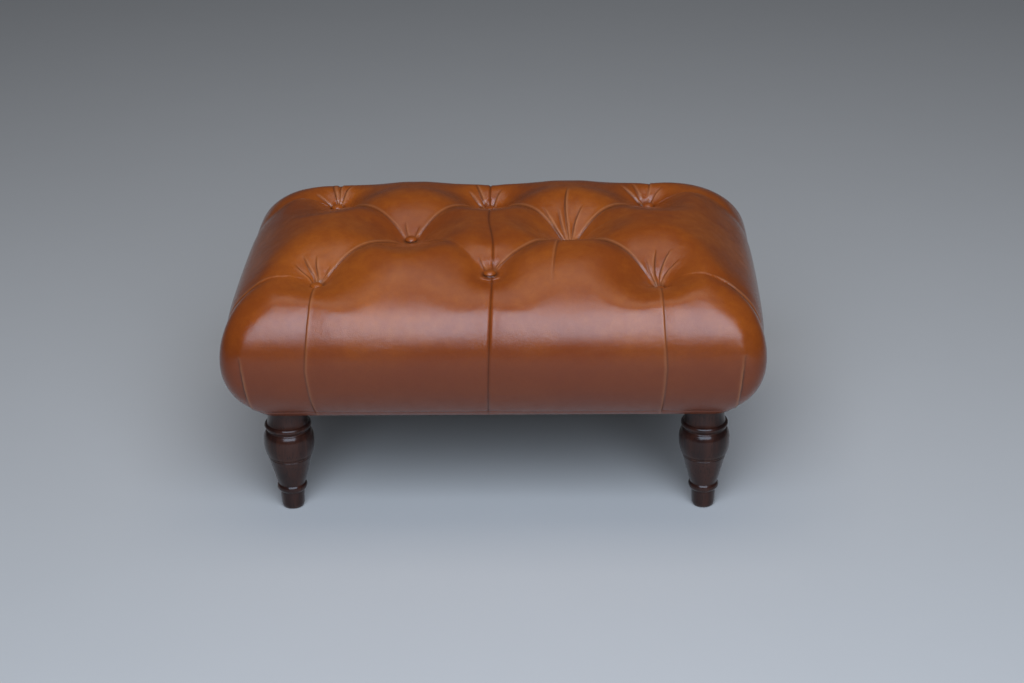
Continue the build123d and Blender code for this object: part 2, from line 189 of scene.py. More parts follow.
class Stuffing:
    """The smooth shape that the hide is drawn over, before it is buttoned down."""

    def __init__(self, settings):
        self.widest = settings.widest_height
        self.side = settings.side_radius
        self.reach = settings.crown_reach
        self.corner = settings.corner_radius
        rise = CROWN_Z - self.widest
        run = self.reach - self.side
        self.crown = (rise**2 + run**2 - self.side**2) / (2 * (rise - self.side))
        lean = run / sqrt(run**2 + (self.widest - CROWN_Z + self.crown) ** 2)
        self.shoulder = self.side * (1 - lean)

    def height(self, inset):
        """Height of the upper surface at a distance in from the widest outline."""
        inset = np.clip(inset, 0.0, self.reach)
        side = self.widest + np.sqrt(np.maximum(self.side**2 - (self.side - inset) ** 2, 0))
        crown = CROWN_Z - self.crown + np.sqrt(self.crown**2 - (self.reach - inset) ** 2)
        return np.where(inset < self.shoulder, side, crown)

    def tuck(self, z):
        """How far the lower side lies in from the widest outline at height z."""
        return self.side - np.sqrt(self.side**2 - (self.widest - z) ** 2)

    def radius(self, inset, upper=True):
        """Plan radius of the level outline that lies inset in from the widest one."""
        return self.corner + (0.45 if upper else -0.15) * inset

    def inset_at(self, x, y):
        """The inset of the level outline that passes through each plan position."""
        low = np.zeros_like(x)
        high = np.full_like(x, HALF_DEPTH)
        for _ in range(34):
            middle = (low + high) / 2
            inside = rounded_distance(
                x, y, HALF_LENGTH - middle, HALF_DEPTH - middle, self.radius(middle)
            ) < 0
            low = np.where(inside, middle, low)
            high = np.where(inside, high, middle)
        return (low + high) / 2

    def top(self, x, y):
        """Height of the upper surface over each plan position."""
        return self.height(self.inset_at(np.asarray(x, float), np.asarray(y, float)))

    def edge_rows(self, inner_inset, step):
        """(inset, height) of the grid's rows, evenly spaced from inner_inset to the rails."""
        count = 400
        upper = np.linspace(inner_inset, 0.0, count) ** 2 / inner_inset
        lower = np.linspace(self.widest, RAIL_Z, count)[1:]
        inset = np.concatenate([upper, self.tuck(lower)])
        z = np.concatenate([self.height(upper), lower])
        run = np.concatenate([[0], np.cumsum(np.hypot(np.diff(inset), np.diff(z)))])
        places = np.linspace(0, run[-1], int(round(run[-1] / step)) + 1)[1:]
        return np.interp(places, run, inset), np.interp(places, run, z), places


def rounded_distance(x, y, half_x, half_y, radius):
    """Signed distance to a rounded rectangle about the origin, negative inside."""
    qx = np.abs(x) - (half_x - radius)
    qy = np.abs(y) - (half_y - radius)
    outside = np.hypot(np.maximum(qx, 0), np.maximum(qy, 0))
    return outside + np.minimum(np.maximum(qx, qy), 0) - radius


def outline_ring(half_x, half_y, radius, along_x, along_y):
    """Points round a rounded rectangle, from its front left corner, seen from above.

    Each side has evenly spaced points from the middle of one corner to the middle of the next.
    """
    radius = max(radius, 1e-6)

    def side(half_run, half_across, count):
        straight = 2 * (half_run - radius)
        bend = radius * pi / 4
        place = np.arange(count) / count * (straight + 2 * bend)
        angle = np.zeros(count)
        first = place < bend
        last = place > bend + straight
        angle[first] = (place[first] - bend) / radius
        angle[last] = (place[last] - bend - straight) / radius
        run = np.clip(place - bend, 0, straight) - straight / 2 + radius * np.sin(angle)
        across = half_across - radius + radius * np.cos(angle)
        return run, across

    front_run, front_out = side(half_x, half_y, along_x)
    right_run, right_out = side(half_y, half_x, along_y)
    x = np.concatenate([front_run, right_out, -front_run, -right_out])
    y = np.concatenate([-front_out, right_run, front_out, -right_run])
    return x, y


# ---- the cover's grid ---------------------------------------------------------------------

INNER_INSET = 0.070
HEM_WIDTH = 0.016
LEG_SPACE = 0.0285


def grid_quads(columns, rows):
    """The indices of a grid of points, row by row, and its quads, which face up."""
    field = np.arange(columns * rows).reshape(rows, columns)
    corners = [field[:-1, :-1], field[:-1, 1:], field[1:, 1:], field[1:, :-1]]
    return field, np.stack(corners, axis=-1).reshape(-1, 4)


def cover_grid(stuffing, step):
    """Points and quads of the whole cover: a field over the crown, then rows down the sides."""
    half_x = HALF_LENGTH - INNER_INSET
    half_y = HALF_DEPTH - INNER_INSET
    nx = 2 * int(round(half_x / step))
    ny = 2 * int(round(half_y / step))
    gx, gy = np.meshgrid(np.linspace(-half_x, half_x, nx + 1), np.linspace(-half_y, half_y, ny + 1))
    gx, gy = gx.ravel(), gy.ravel()
    points = [np.stack([gx, gy, stuffing.top(gx, gy)], axis=1)]
    field, quads = grid_quads(nx + 1, ny + 1)
    ring = np.concatenate([field[0, :-1], field[:-1, -1], field[-1, :0:-1], field[:0:-1, 0]])
    all_quads = [quads]
    start = field.size
    for inset, z, place in zip(*stuffing.edge_rows(INNER_INSET, step)):
        upper = z > stuffing.widest
        settled = np.clip(place / INNER_INSET, 0, 1)
        easing = settled**2 * (3 - 2 * settled)
        radius = stuffing.radius(inset, upper) * easing
        x, y = outline_ring(HALF_LENGTH - inset, HALF_DEPTH - inset, radius, nx, ny)
        height = np.full(len(x), z)
        if upper and easing < 1:
            height = stuffing.top(x, y)
        points.append(np.stack([x, y, height], axis=1))
        ring, start = add_ring(all_quads, ring, start, len(x))
    for x, y, z in hem_rows(stuffing, nx, ny):
        points.append(np.stack([x, y, z], axis=1))
        ring, start = add_ring(all_quads, ring, start, len(x))
    return np.concatenate(points), np.concatenate(all_quads)


def add_ring(all_quads, ring, start, count):
    """Joins a new ring of points to the last one, and returns it with the next free index."""
    new = np.arange(start, start + count)
    all_quads.append(np.stack([ring, new, np.roll(new, -1), np.roll(ring, -1)], axis=1))
    return new, start + count


def hem_rows(stuffing, nx, ny):
    """Rows that carry the hide round the rails' lower edge and in under them as a flat hem."""
    base = float(stuffing.tuck(RAIL_Z))
    turn = [(0.0008, RAIL_Z - 0.0009), (0.0024, HEM_Z)]
    flat = [(0.0024 + HEM_WIDTH * part, HEM_Z) for part in (0.25, 0.5, 0.75, 1.0)]
    for inset, z in turn + flat:
        radius = stuffing.radius(base, upper=False) - inset
        half_x = HALF_LENGTH - base - inset
        half_y = HALF_DEPTH - base - inset
        x, y = outline_ring(half_x, half_y, radius, nx, ny)
        for corner in CORNERS:
            x, y = clear_of_leg(x, y, leg_axis(corner))
        yield x, y, np.full(len(x), z)


def clear_of_leg(x, y, axis):
    """Plan positions moved out of a leg's round top."""
    dx, dy = x - axis.x, y - axis.y
    away = np.maximum(np.hypot(dx, dy), 1e-6)
    push = np.maximum(LEG_SPACE / away, 1.0)
    return axis.x + dx * push, axis.y + dy * push


# ---- creases ------------------------------------------------------------------------------

class Crease:
    """A fold line on the smooth shape, from a button to another button or to the hem.

    points run along the line. valley is how deep the stuffing dips along it at its start, middle
    and end, width how wide the dip is, fold how high the lapped edge of the hide stands at the
    same three places, and lap which side laps over: 1 for the left of its run, -1 for the right.
    """

    def __init__(self, points, valley, width, fold, lap=1.0):
        self.points = np.asarray(points, float)
        self.valley = valley
        self.width = width
        self.fold = fold
        self.lap = lap
        self.reach = 4 * width

    def near(self, cloud, normals):
        """Indices of the points near the line, with their signed distance and place along it."""
        low = self.points.min(0) - self.reach
        high = self.points.max(0) + self.reach
        chosen = np.flatnonzero(((cloud > low) & (cloud < high)).all(axis=1))
        spot = cloud[chosen]
        best = np.full(len(spot), np.inf)
        place = np.zeros(len(spot))
        side = np.ones(len(spot))
        steps = np.diff(self.points, axis=0)
        sizes = np.linalg.norm(steps, axis=1)
        starts = np.concatenate([[0], np.cumsum(sizes)])
        for i, step in enumerate(steps):
            offset = spot - self.points[i]
            t = np.clip(offset @ step / sizes[i] ** 2, 0, 1)
            gap = offset - t[:, None] * step
            away = np.linalg.norm(gap, axis=1)
            closer = away < best
            left = np.einsum("ij,ij->i", np.cross(step, gap), normals[chosen])
            best = np.where(closer, away, best)
            place = np.where(closer, (starts[i] + t * sizes[i]) / starts[-1], place)
            side = np.where(closer, np.where(left < 0, -1.0, 1.0), side)
        kept = best < self.reach
        return chosen[kept], (best * side)[kept], place[kept]


def along(values, place):
    """A smooth run through three values, at the start, middle and end of a line."""
    start, middle, end = values
    first = middle + (start - middle) * np.clip(1 - 2 * place, 0, 1) ** 2
    last = middle + (end - middle) * np.clip(2 * place - 1, 0, 1) ** 2
    return np.where(place < 0.5, first, last)


def top_line(stuffing, start, end, bow=0.0, count=26):
    """Points over the crown from one plan position to another, bowed to the left by bow."""
    t = np.linspace(0, 1, count)[:, None]
    start, end = np.array(start[:2], float), np.array(end[:2], float)
    across = np.array([start[1] - end[1], end[0] - start[0]])
    across = across / np.linalg.norm(across)
    plan = start + (end - start) * t + across * bow * np.sin(pi * t)
    return np.column_stack([plan, stuffing.top(plan[:, 0], plan[:, 1])])


def side_line(stuffing, seat, side, ends, count=60):
    """Points from a button over the shoulder and down one side to the hem.

    side is the outward direction, and ends are the places across it at the widest level and at
    the hem.
    """
    lengthwise = side[0] != 0
    half = HALF_LENGTH if lengthwise else HALF_DEPTH
    outward = side[0] if lengthwise else side[1]
    begin = seat.y if lengthwise else seat.x
    first_inset = half - outward * (seat.x if lengthwise else seat.y)
    upper = first_inset * np.linspace(1, 0, count) ** 2
    lower = np.linspace(stuffing.widest, RAIL_Z, count // 2)[1:]
    inset = np.concatenate([upper, stuffing.tuck(lower)])
    z = np.concatenate([stuffing.height(upper), lower])
    steps = np.concatenate([[0], np.cumsum(np.hypot(np.diff(inset), np.diff(z)))])
    across = np.interp(steps, [0, steps[count - 1], steps[-1]], [begin, *ends])
    out = outward * (half - inset)
    columns = [out, across, z] if lengthwise else [across, out, z]
    return np.column_stack(columns)


DIAMONDS = (
    ("front_left", "middle_left", 1.0, 0.9),
    ("middle_left", "rear_left", -1.0, 0.8),
    ("middle_left", "rear_centre", 1.0, 0.8),
    ("middle_left", "front_centre", 1.0, 0.15),
    ("front_centre", "middle_right", 1.0, 0.9),
    ("middle_right", "rear_centre", -1.0, 0.9),
    ("middle_right", "rear_right", 1.0, 1.0),
    ("middle_right", "front_right", 1.0, 1.0),
)


def diamond_creases(stuffing, depth):
    """The folds between neighbouring buttons."""
    creases = []
    for first, last, lap, strength in DIAMONDS:
        points = top_line(stuffing, SEATS[first], SEATS[last])
        valley = (depth * 1.6, depth * (0.45 + 0.55 * strength), depth * 1.6)
        fold = (0.0009 * strength, 0.0015 * strength, 0.0009 * strength)
        creases.append(Crease(points, valley, 0.019, fold, lap))
    return creases


SIDE_PLEATS = (
    ("front_left", (0, -1), (-0.246, -0.239), 1.0, 1.0),
    ("front_right", (0, -1), (0.230, 0.224), -1.0, 1.0),
    ("rear_left", (0, 1), (-0.236, -0.232), 1.0, 0.9),
    ("rear_right", (0, 1), (0.226, 0.222), -1.0, 0.9),
    ("front_left", (-1, 0), (-0.146, -0.140), -1.0, 1.1),
    ("front_right", (1, 0), (-0.156, -0.186), 1.0, 1.8),
    ("rear_left", (-1, 0), (0.132, 0.126), 1.0, 0.9),
    ("rear_right", (1, 0), (0.134, 0.128), -1.0, 0.9),
)


def side_pleats(stuffing, depth):
    """The folds from the outer buttons over the shoulders and down the sides."""
    creases = []
    for place, side, ends, lap, strength in SIDE_PLEATS:
        points = side_line(stuffing, SEATS[place], side, ends)
        top_share = 2.6 if side[0] else 2.0
        valley = (depth * top_share, depth * strength, depth * 0.35)
        fold = (0.0009, 0.0009 * strength, 0.0009 * strength)
        creases.append(Crease(points, valley, 0.012, fold, lap))
    return creases


SEAM_WANDER = 0.0022
SEAM_SHOULDER_Z = 0.34
SEAM_HEM_X = (-0.0075, 0.002)
SEAM_PULL_REACH = 0.04


def seam_x(y, z):
    """Where the centre seam runs: near x = 0, wandering a little as it was sewn and pulled."""
    front, rear = SEATS["front_centre"], SEATS["rear_centre"]
    top = np.interp(y, [front.y, rear.y], [0.0, rear.x])
    wander = SEAM_WANDER * np.sin((y - front.y) * 34.0) * (y > front.y)
    lowered = np.clip((SEAM_SHOULDER_Z - z) / (SEAM_SHOULDER_Z - RAIL_Z), 0, 1)
    return top + wander * (np.abs(y) < 0.13) + lowered * np.where(y < 0, *SEAM_HEM_X)


def centre_seam(stuffing, depth):
    """The seam's line over the front, the top and the back, as three dips in the stuffing."""
    front, rear = SEATS["front_centre"], SEATS["rear_centre"]
    runs = [
        (side_line(stuffing, front, (0, -1), (-0.004, -0.0075)), (2.2, 1.0, 0.4)),
        (top_line(stuffing, front, rear), (2.6, 1.6, 2.6)),
        (side_line(stuffing, rear, (0, 1), (-0.004, 0.0)), (2.4, 1.0, 0.4)),
    ]
    return [
        Crease(points, tuple(depth * v for v in valley), 0.011, (0.0, 0.0, 0.0))
        for points, valley in runs
    ]


BUTTON_EDGE = 0.007
NO_VALLEY = (0.0, 0.0, 0.0)

# Puckers: button, then (angle from +X, length, depth) for each, in degrees and millimetres.
PUCKERS = {
    "front_left": ((62, 34, 1.2), (98, 46, 2.4), (118, 52, 2.6), (141, 44, 2.0), (258, 24, 1.0)),
    "front_centre": ((62, 30, 1.8), (118, 34, 1.8), (205, 18, 0.7), (330, 20, 0.8)),
    "front_right": (
        (50, 46, 1.8), (72, 58, 2.6), (91, 54, 2.6), (112, 44, 2.0), (205, 26, 1.4), (232, 30, 1.2),
    ),
    "middle_left": ((66, 30, 1.5), (108, 34, 1.8), (332, 26, 1.2), (352, 22, 1.0), (215, 18, 0.7)),
    "middle_right": (
        (74, 64, 2.6), (92, 104, 3.2), (106, 60, 2.4), (124, 70, 2.6), (200, 26, 1.4),
        (222, 34, 1.4), (296, 26, 1.4), (318, 34, 1.6), (340, 28, 1.2), (8, 60, 1.6),
    ),
    "rear_left": ((60, 46, 2.4), (80, 52, 2.2), (100, 48, 2.4), (150, 40, 2.0)),
    "rear_centre": ((58, 34, 1.8), (118, 48, 2.4), (142, 40, 2.0), (262, 22, 0.8)),
    "rear_right": ((52, 34, 1.6), (122, 46, 2.2), (142, 52, 2.6), (300, 20, 0.8)),
}


def pucker_creases(stuffing):
    """The short creases that fan out from each button."""
    creases = []
    for place, fan in PUCKERS.items():
        seat = SEATS[place]
        for angle, reach, deep in fan:
            ahead = Vector((cos(radians(angle)), sin(radians(angle))))
            start = seat.xy + BUTTON_EDGE * ahead
            end = seat.xy + 0.001 * reach * ahead
            points = top_line(stuffing, start, end, bow=0.00005 * reach, count=10)
            fold = (0.0010 * deep, 0.00055 * deep, 0.0)
            creases.append(Crease(points, NO_VALLEY, 0.0032, fold, 1.0 if angle % 2 else -1.0))
    return creases


def corner_pleats(stuffing):
    """The fold down each end of the long sides, where the hide is lapped round the corner."""
    z = np.linspace(0.262, RAIL_Z, 24)
    x = np.linspace(0.331, 0.323, 24)
    y = HALF_DEPTH - np.where(z > stuffing.widest, 0.001, stuffing.tuck(z))
    valley = (0.0004, 0.002, 0.002)
    fold = (0.0004, 0.0018, 0.0022)
    return [
        Crease(np.column_stack([end * x, side * y, z]), valley, 0.009, fold, end * side)
        for end in (-1, 1) for side in (-1, 1)
    ]


def shoulder_drag(stuffing):
    """The long soft crease that drags from the deepest button towards the front shoulder."""
    seat = SEATS["middle_right"]
    points = top_line(stuffing, seat, (seat.x - 0.022, -0.176), bow=-0.004)
    return [Crease(points, (0.004, 0.0022, 0.0), 0.010, (0.0012, 0.0009, 0.0), -1.0)]


# ---- shaping ------------------------------------------------------------------------------

# How far each button draws the hide down to its left, right, front and rear.
WELL_REACH = {
    "front_left": (0.070, 0.105, 0.050, 0.100),
    "front_centre": (0.100, 0.100, 0.055, 0.085),
    "front_right": (0.100, 0.070, 0.050, 0.100),
    "middle_left": (0.100, 0.095, 0.118, 0.085),
    "middle_right": (0.095, 0.095, 0.085, 0.095),
    "rear_left": (0.070, 0.100, 0.108, 0.036),
    "rear_centre": (0.095, 0.095, 0.104, 0.034),
    "rear_right": (0.100, 0.070, 0.108, 0.036),
}
SEAT_RADIUS = 0.0085
SEAT_SINK = 0.0006
WELL_CURVE = 1.65
EASED_FRONT = 0.5
UNION_POWER = 2.6
TOP_LEVEL = 0.3
HELD_HEM = 0.012


def smooth(x):
    """A smooth step from 0 to 1."""
    x = np.clip(x, 0, 1)
    return x * x * (3 - 2 * x)


def bell(distance, centre, width):
    """A bump of height 1 at one distance, falling off over a width."""
    return np.exp(-(((distance - centre) / width) ** 2))


def dip(distance, width):
    """The cross-section of a valley: 1 at its line, with a narrow rounded bottom."""
    return np.exp(0.25 - np.sqrt((distance / width) ** 2 + 0.0625))


def well_depth(points, place):
    """How far a button draws each point down, falling off further on its inner side."""
    seat = SEATS[place]
    left, right, front, rear = WELL_REACH[place]
    dx, dy = points[:, 0] - seat.x, points[:, 1] - seat.y
    away = np.maximum(np.hypot(dx, dy), 1e-6)
    lengthwise = np.where(dx < 0, left, right) * (dx / away) ** 2
    crosswise = np.where(dy < 0, front, rear) * (dy / away) ** 2
    reach = lengthwise + crosswise
    curve = WELL_CURVE - EASED_FRONT * (dy < 0) * (dy / away) ** 2
    drawn = np.clip(1 - np.maximum(away - BUTTON_EDGE, 0) / reach, 0, 1) ** curve
    on_top = points[:, 2] > DECK_TOP_Z
    top = points[np.argmin(away + 10 * ~on_top), 2]
    return np.where(on_top, (top - seat.z) * drawn, 0), np.where(on_top, away, np.inf)


def button_down(points, normals, creases):
    """Points drawn down into the button wells and along the creases' valleys."""
    total = np.zeros(len(points))
    for crease in creases:
        chosen, away, place = crease.near(points, normals)
        depth = along(crease.valley, place) * dip(away, crease.width)
        total[chosen] += depth**UNION_POWER
    wells = {place: well_depth(points, place) for place in PLACES}
    for depth, _ in wells.values():
        total += depth**UNION_POWER
    moved = points - normals * (total ** (1 / UNION_POWER))[:, None]
    for place, (_, away) in wells.items():
        held = 1 - smooth((away - SEAT_RADIUS) / 0.007)
        moved[:, 2] += (SEATS[place].z - SEAT_SINK - moved[:, 2]) * held
        moved[:, :2] += (points[:, :2] - moved[:, :2]) * held[:, None]
    return moved


def puffed(points, normals, height):
    """Points moved out a little between the pleats, so that no panel is flat."""
    x, y, z = points.T
    on_end = smooth((np.abs(x) - HALF_LENGTH + 0.05) / 0.05)
    on_long = smooth((np.abs(y) - HALF_DEPTH + 0.05) / 0.05)
    level = smooth((z - RAIL_Z) / 0.07) * (1 - smooth((z - 0.30) / 0.05))
    end_swell = on_end * np.cos(np.clip(y / HALF_DEPTH, -1, 1) * pi / 2) ** 0.8
    long_swell = 0.35 * on_long * np.abs(np.sin(x / 0.228 * pi)) * (np.abs(x) < 0.33)
    crest = 0.8 * smooth((y - 0.11) / 0.04) * smooth((z - 0.30) / 0.04)
    swell = level * np.maximum(end_swell, long_swell) + crest
    return points + normals * (height * swell)[:, None]


# ---- meshes -------------------------------------------------------------------------------

def make_mesh(name, points, faces):
    """A mesh object from points and faces, shaded smooth."""
    mesh = bpy.data.meshes.new(name)
    mesh.from_pydata(np.asarray(points).tolist(), [], [list(face) for face in faces])
    mesh.polygons.foreach_set("use_smooth", [True] * len(mesh.polygons))
    mesh.update()
    piece = bpy.data.objects.new(name, mesh)
    bpy.context.scene.collection.objects.link(piece)
    return piece


def mesh_points(mesh):
    """A mesh's vertices as an array."""
    flat = np.zeros(len(mesh.vertices) * 3)
    mesh.vertices.foreach_get("co", flat)
    return flat.reshape(-1, 3)


def set_points(mesh, points):
    """Moves a mesh's vertices."""
    mesh.vertices.foreach_set("co", points.astype(np.float32).ravel())
    mesh.update()


def mesh_normals(mesh):
    """A mesh's vertex normals as an array."""
    flat = np.zeros(len(mesh.vertices) * 3, np.float32)
    mesh.vertices.foreach_get("normal", flat)
    return flat.reshape(-1, 3).astype(float)


def keep_attribute(mesh, name, values, kind="FLOAT"):
    """Stores a value for each vertex."""
    attribute = mesh.attributes.get(name) or mesh.attributes.new(name, kind, "POINT")
    key = "vector" if kind == "FLOAT_VECTOR" else "value"
    attribute.data.foreach_set(key, np.asarray(values, np.float32).ravel())


def read_attribute(mesh, name):
    """A vector attribute as an array."""
    data = mesh.attributes[name].data
    flat = np.zeros(len(data) * 3, np.float32)
    data.foreach_get("vector", flat)
    return flat.reshape(-1, 3).astype(float)


def with_modifiers_applied(piece):
    """Replaces a piece's mesh by what its modifiers make of it."""
    graph = bpy.context.evaluated_depsgraph_get()
    mesh = bpy.data.meshes.new_from_object(piece.evaluated_get(graph), depsgraph=graph)
    piece.modifiers.clear()
    old = piece.data
    piece.data = mesh
    bpy.data.meshes.remove(old)
    return piece


def subdivide(piece, levels):
    """One Catmull-Clark subdivision or more, applied."""
    modifier = piece.modifiers.new("Subdivision", "SUBSURF")
    modifier.levels = levels
    modifier.render_levels = levels
    modifier.boundary_smooth = "PRESERVE_CORNERS"
    return with_modifiers_applied(piece)


SIM_FRAMES = 20
FOLD_LINE = 0.0011
DRAW_REACH = 0.011
DRAW_SHARE = 0.55


def simulate_stuffing(piece, hold, settings):
    """Puffs the cover with a short pressure simulation, held at the points' hold weights."""
    mesh = piece.data
    before = mesh_points(mesh)
    group = piece.vertex_groups.new(name="hold")
    for level in range(1, 11):
        chosen = np.flatnonzero(np.round(hold * 10) == level)
        if len(chosen):
            group.add(chosen.tolist(), level / 10, "REPLACE")
    cloth = piece.modifiers.new("Cloth", "CLOTH")
    cloth.settings.quality = 5
    cloth.settings.mass = 0.4
    cloth.settings.tension_stiffness = 28
    cloth.settings.compression_stiffness = 18
    cloth.settings.shear_stiffness = 8
    cloth.settings.bending_stiffness = 12.0
    cloth.settings.use_pressure = True
    cloth.settings.uniform_pressure_force = settings.air_pressure
    cloth.settings.vertex_group_mass = "hold"
    cloth.settings.pin_stiffness = 2.0
    cloth.settings.effector_weights.gravity = 0.0
    cloth.collision_settings.use_collision = False
    cloth.point_cache.frame_start = 1
    cloth.point_cache.frame_end = SIM_FRAMES
    scene = bpy.context.scene
    for number in range(1, SIM_FRAMES + 1):
        scene.frame_set(number)
    with_modifiers_applied(piece)
    scene.frame_set(1)
    piece.vertex_groups.clear()
    moved = mesh_points(piece.data) - before
    size = np.maximum(np.linalg.norm(moved, axis=1), 1e-9)
    cap = settings.sim_cap
    limited = cap * np.tanh(size / cap) / size
    set_points(piece.data, before + moved * limited[:, None])


LAP_DIP = 0.9
LAP_STEP = 0.0018


def lapped(away, lap, height):
    """The cross-section of a lapped fold: a dip, then a step up to the rounded upper edge."""
    s = away * lap
    below = -LAP_DIP * np.exp(np.minimum(s, 0) / 0.0034)
    step = smooth(s / LAP_STEP)
    above = np.exp(-np.maximum(s - LAP_STEP, 0) / 0.0065)
    return height * np.where(s < 0, below, -LAP_DIP + (LAP_DIP + above) * step)


def seam_groove(away):
    """The cross-section of the sewn seam: a narrow groove between two rolled edges."""
    rolled = 0.0004 * bell(np.abs(away), 0.0036, 0.0024)
    return rolled - 0.0013 * np.exp(-np.abs(away) / 0.0012)


# ---- node groups --------------------------------------------------------------------------

MIX_A, MIX_B, MIX_RESULT = 6, 7, 2


def node(tree, kind, inputs=None, **settings):
    """A shader node with its settings, and its inputs set or linked by name or index."""
    made = tree.nodes.new("ShaderNode" + kind)
    for key, value in settings.items():
        setattr(made, key, value)
    for key, value in (inputs or {}).items():
        if isinstance(value, bpy.types.NodeSocket):
            tree.links.new(value, made.inputs[key])
        else:
            made.inputs[key].default_value = value
    return made


def calc(tree, operation, *values, clamp=False):
    """The result of a Math node on sockets or numbers."""
    made = node(tree, "Math", dict(enumerate(values)), operation=operation, use_clamp=clamp)
    return made.outputs["Value"]


def noise(tree, vector, scale, detail, **inputs):
    """The grey output of a noise texture."""
    inputs.update(Vector=vector, Scale=scale, Detail=detail)
    return node(tree, "TexNoise", inputs).outputs["Fac"]


def ramp(tree, value, *stops):
    """A value remapped through (place, grey) stops."""
    made = node(tree, "ValToRGB", {"Fac": value})
    elements = made.color_ramp.elements
    while len(elements) < len(stops):
        elements.new(0.5)
    for element, (place, grey) in zip(elements, stops):
        element.position = place
        element.color = (grey, grey, grey, 1)
    return made.outputs["Color"]


def new_group(name, inputs, outputs):
    """An empty node group, and the sockets of its two ends.

    It has a Vector input, then float inputs with their defaults, and float outputs.
    """
    group = bpy.data.node_groups.new(name, "ShaderNodeTree")
    group.interface.new_socket("Vector", in_out="INPUT", socket_type="NodeSocketVector")
    for label, default in inputs.items():
        socket = group.interface.new_socket(label, in_out="INPUT", socket_type="NodeSocketFloat")
        socket.default_value = default
    for label in outputs:
        group.interface.new_socket(label, in_out="OUTPUT", socket_type="NodeSocketFloat")
    source = group.nodes.new("NodeGroupInput").outputs
    return group, source, group.nodes.new("NodeGroupOutput").inputs


def grain_group():
    """Hide grain: small irregular pebbles with pores, fading in and out over the hide."""
    group, source, result = new_group("Hide Grain", {"Scale": 900.0}, ("Height", "Pores"))
    spot = source["Vector"]
    bend = node(group, "TexNoise", {"Vector": spot, "Scale": 260.0, "Detail": 2.0})
    bent = node(
        group, "VectorMath", {0: bend.outputs["Color"], 1: (0.0012, 0.0012, 0.0012), 2: spot},
        operation="MULTIPLY_ADD",
    )
    cells = node(
        group, "TexVoronoi",
        {"Vector": bent.outputs["Vector"], "Scale": source["Scale"], "Randomness": 1.0},
        feature="DISTANCE_TO_EDGE",
    )
    pebble = ramp(group, cells.outputs["Distance"], (0.0, 0.0), (0.22, 0.75), (0.6, 1.0))
    patch = ramp(group, noise(group, spot, 24.0, 3.0), (0.35, 0.45), (0.65, 1.0))
    group.links.new(calc(group, "MULTIPLY", pebble, patch), result["Height"])
    group.links.new(calc(group, "SUBTRACT", 1.0, pebble), result["Pores"])
    return group


def clouds_group():
    """Uneven dye or dust: broad clouds broken up by a finer mottle, from 0 to 1."""
    group, source, result = new_group("Clouds", {"Scale": 9.0, "Contrast": 1.0}, ("Mask",))
    fine_scale = calc(group, "MULTIPLY", source["Scale"], 9.0)
    broad = noise(group, source["Vector"], source["Scale"], 4.0, Roughness=0.6)
    fine = noise(group, source["Vector"], fine_scale, 5.0, Roughness=0.7)
    joined = calc(group, "MULTIPLY_ADD", fine, 0.45, broad)
    centred = calc(group, "SUBTRACT", joined, 0.725)
    gain = calc(group, "MULTIPLY", source["Contrast"], 2.6)
    mask = calc(group, "MULTIPLY_ADD", centred, gain, 0.5, clamp=True)
    group.links.new(mask, result["Mask"])
    return group


def timber_group():
    """Wood grain along Z: a long figure and fine pores."""
    group, source, result = new_group("Timber", {"Scale": 1.0}, ("Figure", "Pores"))
    scaled = node(
        group, "VectorMath", {0: source["Vector"], "Scale": source["Scale"]}, operation="SCALE"
    ).outputs["Vector"]
    for label, stretch, detail, distortion, low, high in (
        ("Figure", (60.0, 60.0, 3.2), 4.0, 0.6, 0.36, 0.64),
        ("Pores", (900.0, 900.0, 26.0), 2.0, 0.0, 0.56, 0.70),
    ):
        drawn = node(group, "Mapping", {"Vector": scaled, "Scale": stretch}).outputs["Vector"]
        value = noise(group, drawn, 1.0, detail, Distortion=distortion)
        group.links.new(ramp(group, value, (low, 0.0), (high, 1.0)), result[label])
    return group


def wear_group():
    """Rubbed edges: where the surface turns sharply outward, broken up by noise."""
    group, source, result = new_group("Edge Wear", {"Amount": 0.5, "Scale": 160.0}, ("Mask",))
    shape = node(group, "NewGeometry")
    sharp = ramp(group, shape.outputs["Pointiness"], (0.52, 0.0), (0.60, 1.0))
    speckle = noise(group, source["Vector"], source["Scale"], 4.0)
    broken = ramp(group, speckle, (0.42, 0.0), (0.60, 1.0))
    both = calc(group, "MULTIPLY", sharp, broken)
    group.links.new(calc(group, "MULTIPLY", both, source["Amount"], clamp=True), result["Mask"])
    return group


def weave_group():
    """A plain weave in plan: threads over and under, as a height and a gap mask."""
    group, source, result = new_group("Weave", {"Scale": 900.0}, ("Height", "Gaps"))
    inputs = {
        "Vector": source["Vector"], "Scale": source["Scale"], "Distortion": 0.4, "Detail": 1.0
    }
    warp = node(group, "TexWave", inputs, bands_direction="X").outputs["Fac"]
    weft = node(group, "TexWave", inputs, bands_direction="Y").outputs["Fac"]
    over = calc(group, "MAXIMUM", warp, weft)
    group.links.new(over, result["Height"])
    group.links.new(calc(group, "SUBTRACT", 1.0, over), result["Gaps"])
    return group


GROUP_MAKERS = {
    "Hide Grain": grain_group,
    "Clouds": clouds_group,
    "Timber": timber_group,
    "Edge Wear": wear_group,
    "Weave": weave_group,
}
GROUPS = {}


def placed(tree, name, vector, **values):
    """The outputs of a shared node group placed in a material with its own values."""
    if name not in GROUPS:
        GROUPS[name] = GROUP_MAKERS[name]()
    return node(tree, "Group", {"Vector": vector, **values}, node_tree=GROUPS[name]).outputs


# ---- materials ----------------------------------------------------------------------------

CHIPPED_STAIN = (0.46, 0.36, 0.26)
RUBBED_STAIN = (0.20, 0.10, 0.055)
STAINED_PORES = (0.008, 0.004, 0.003)


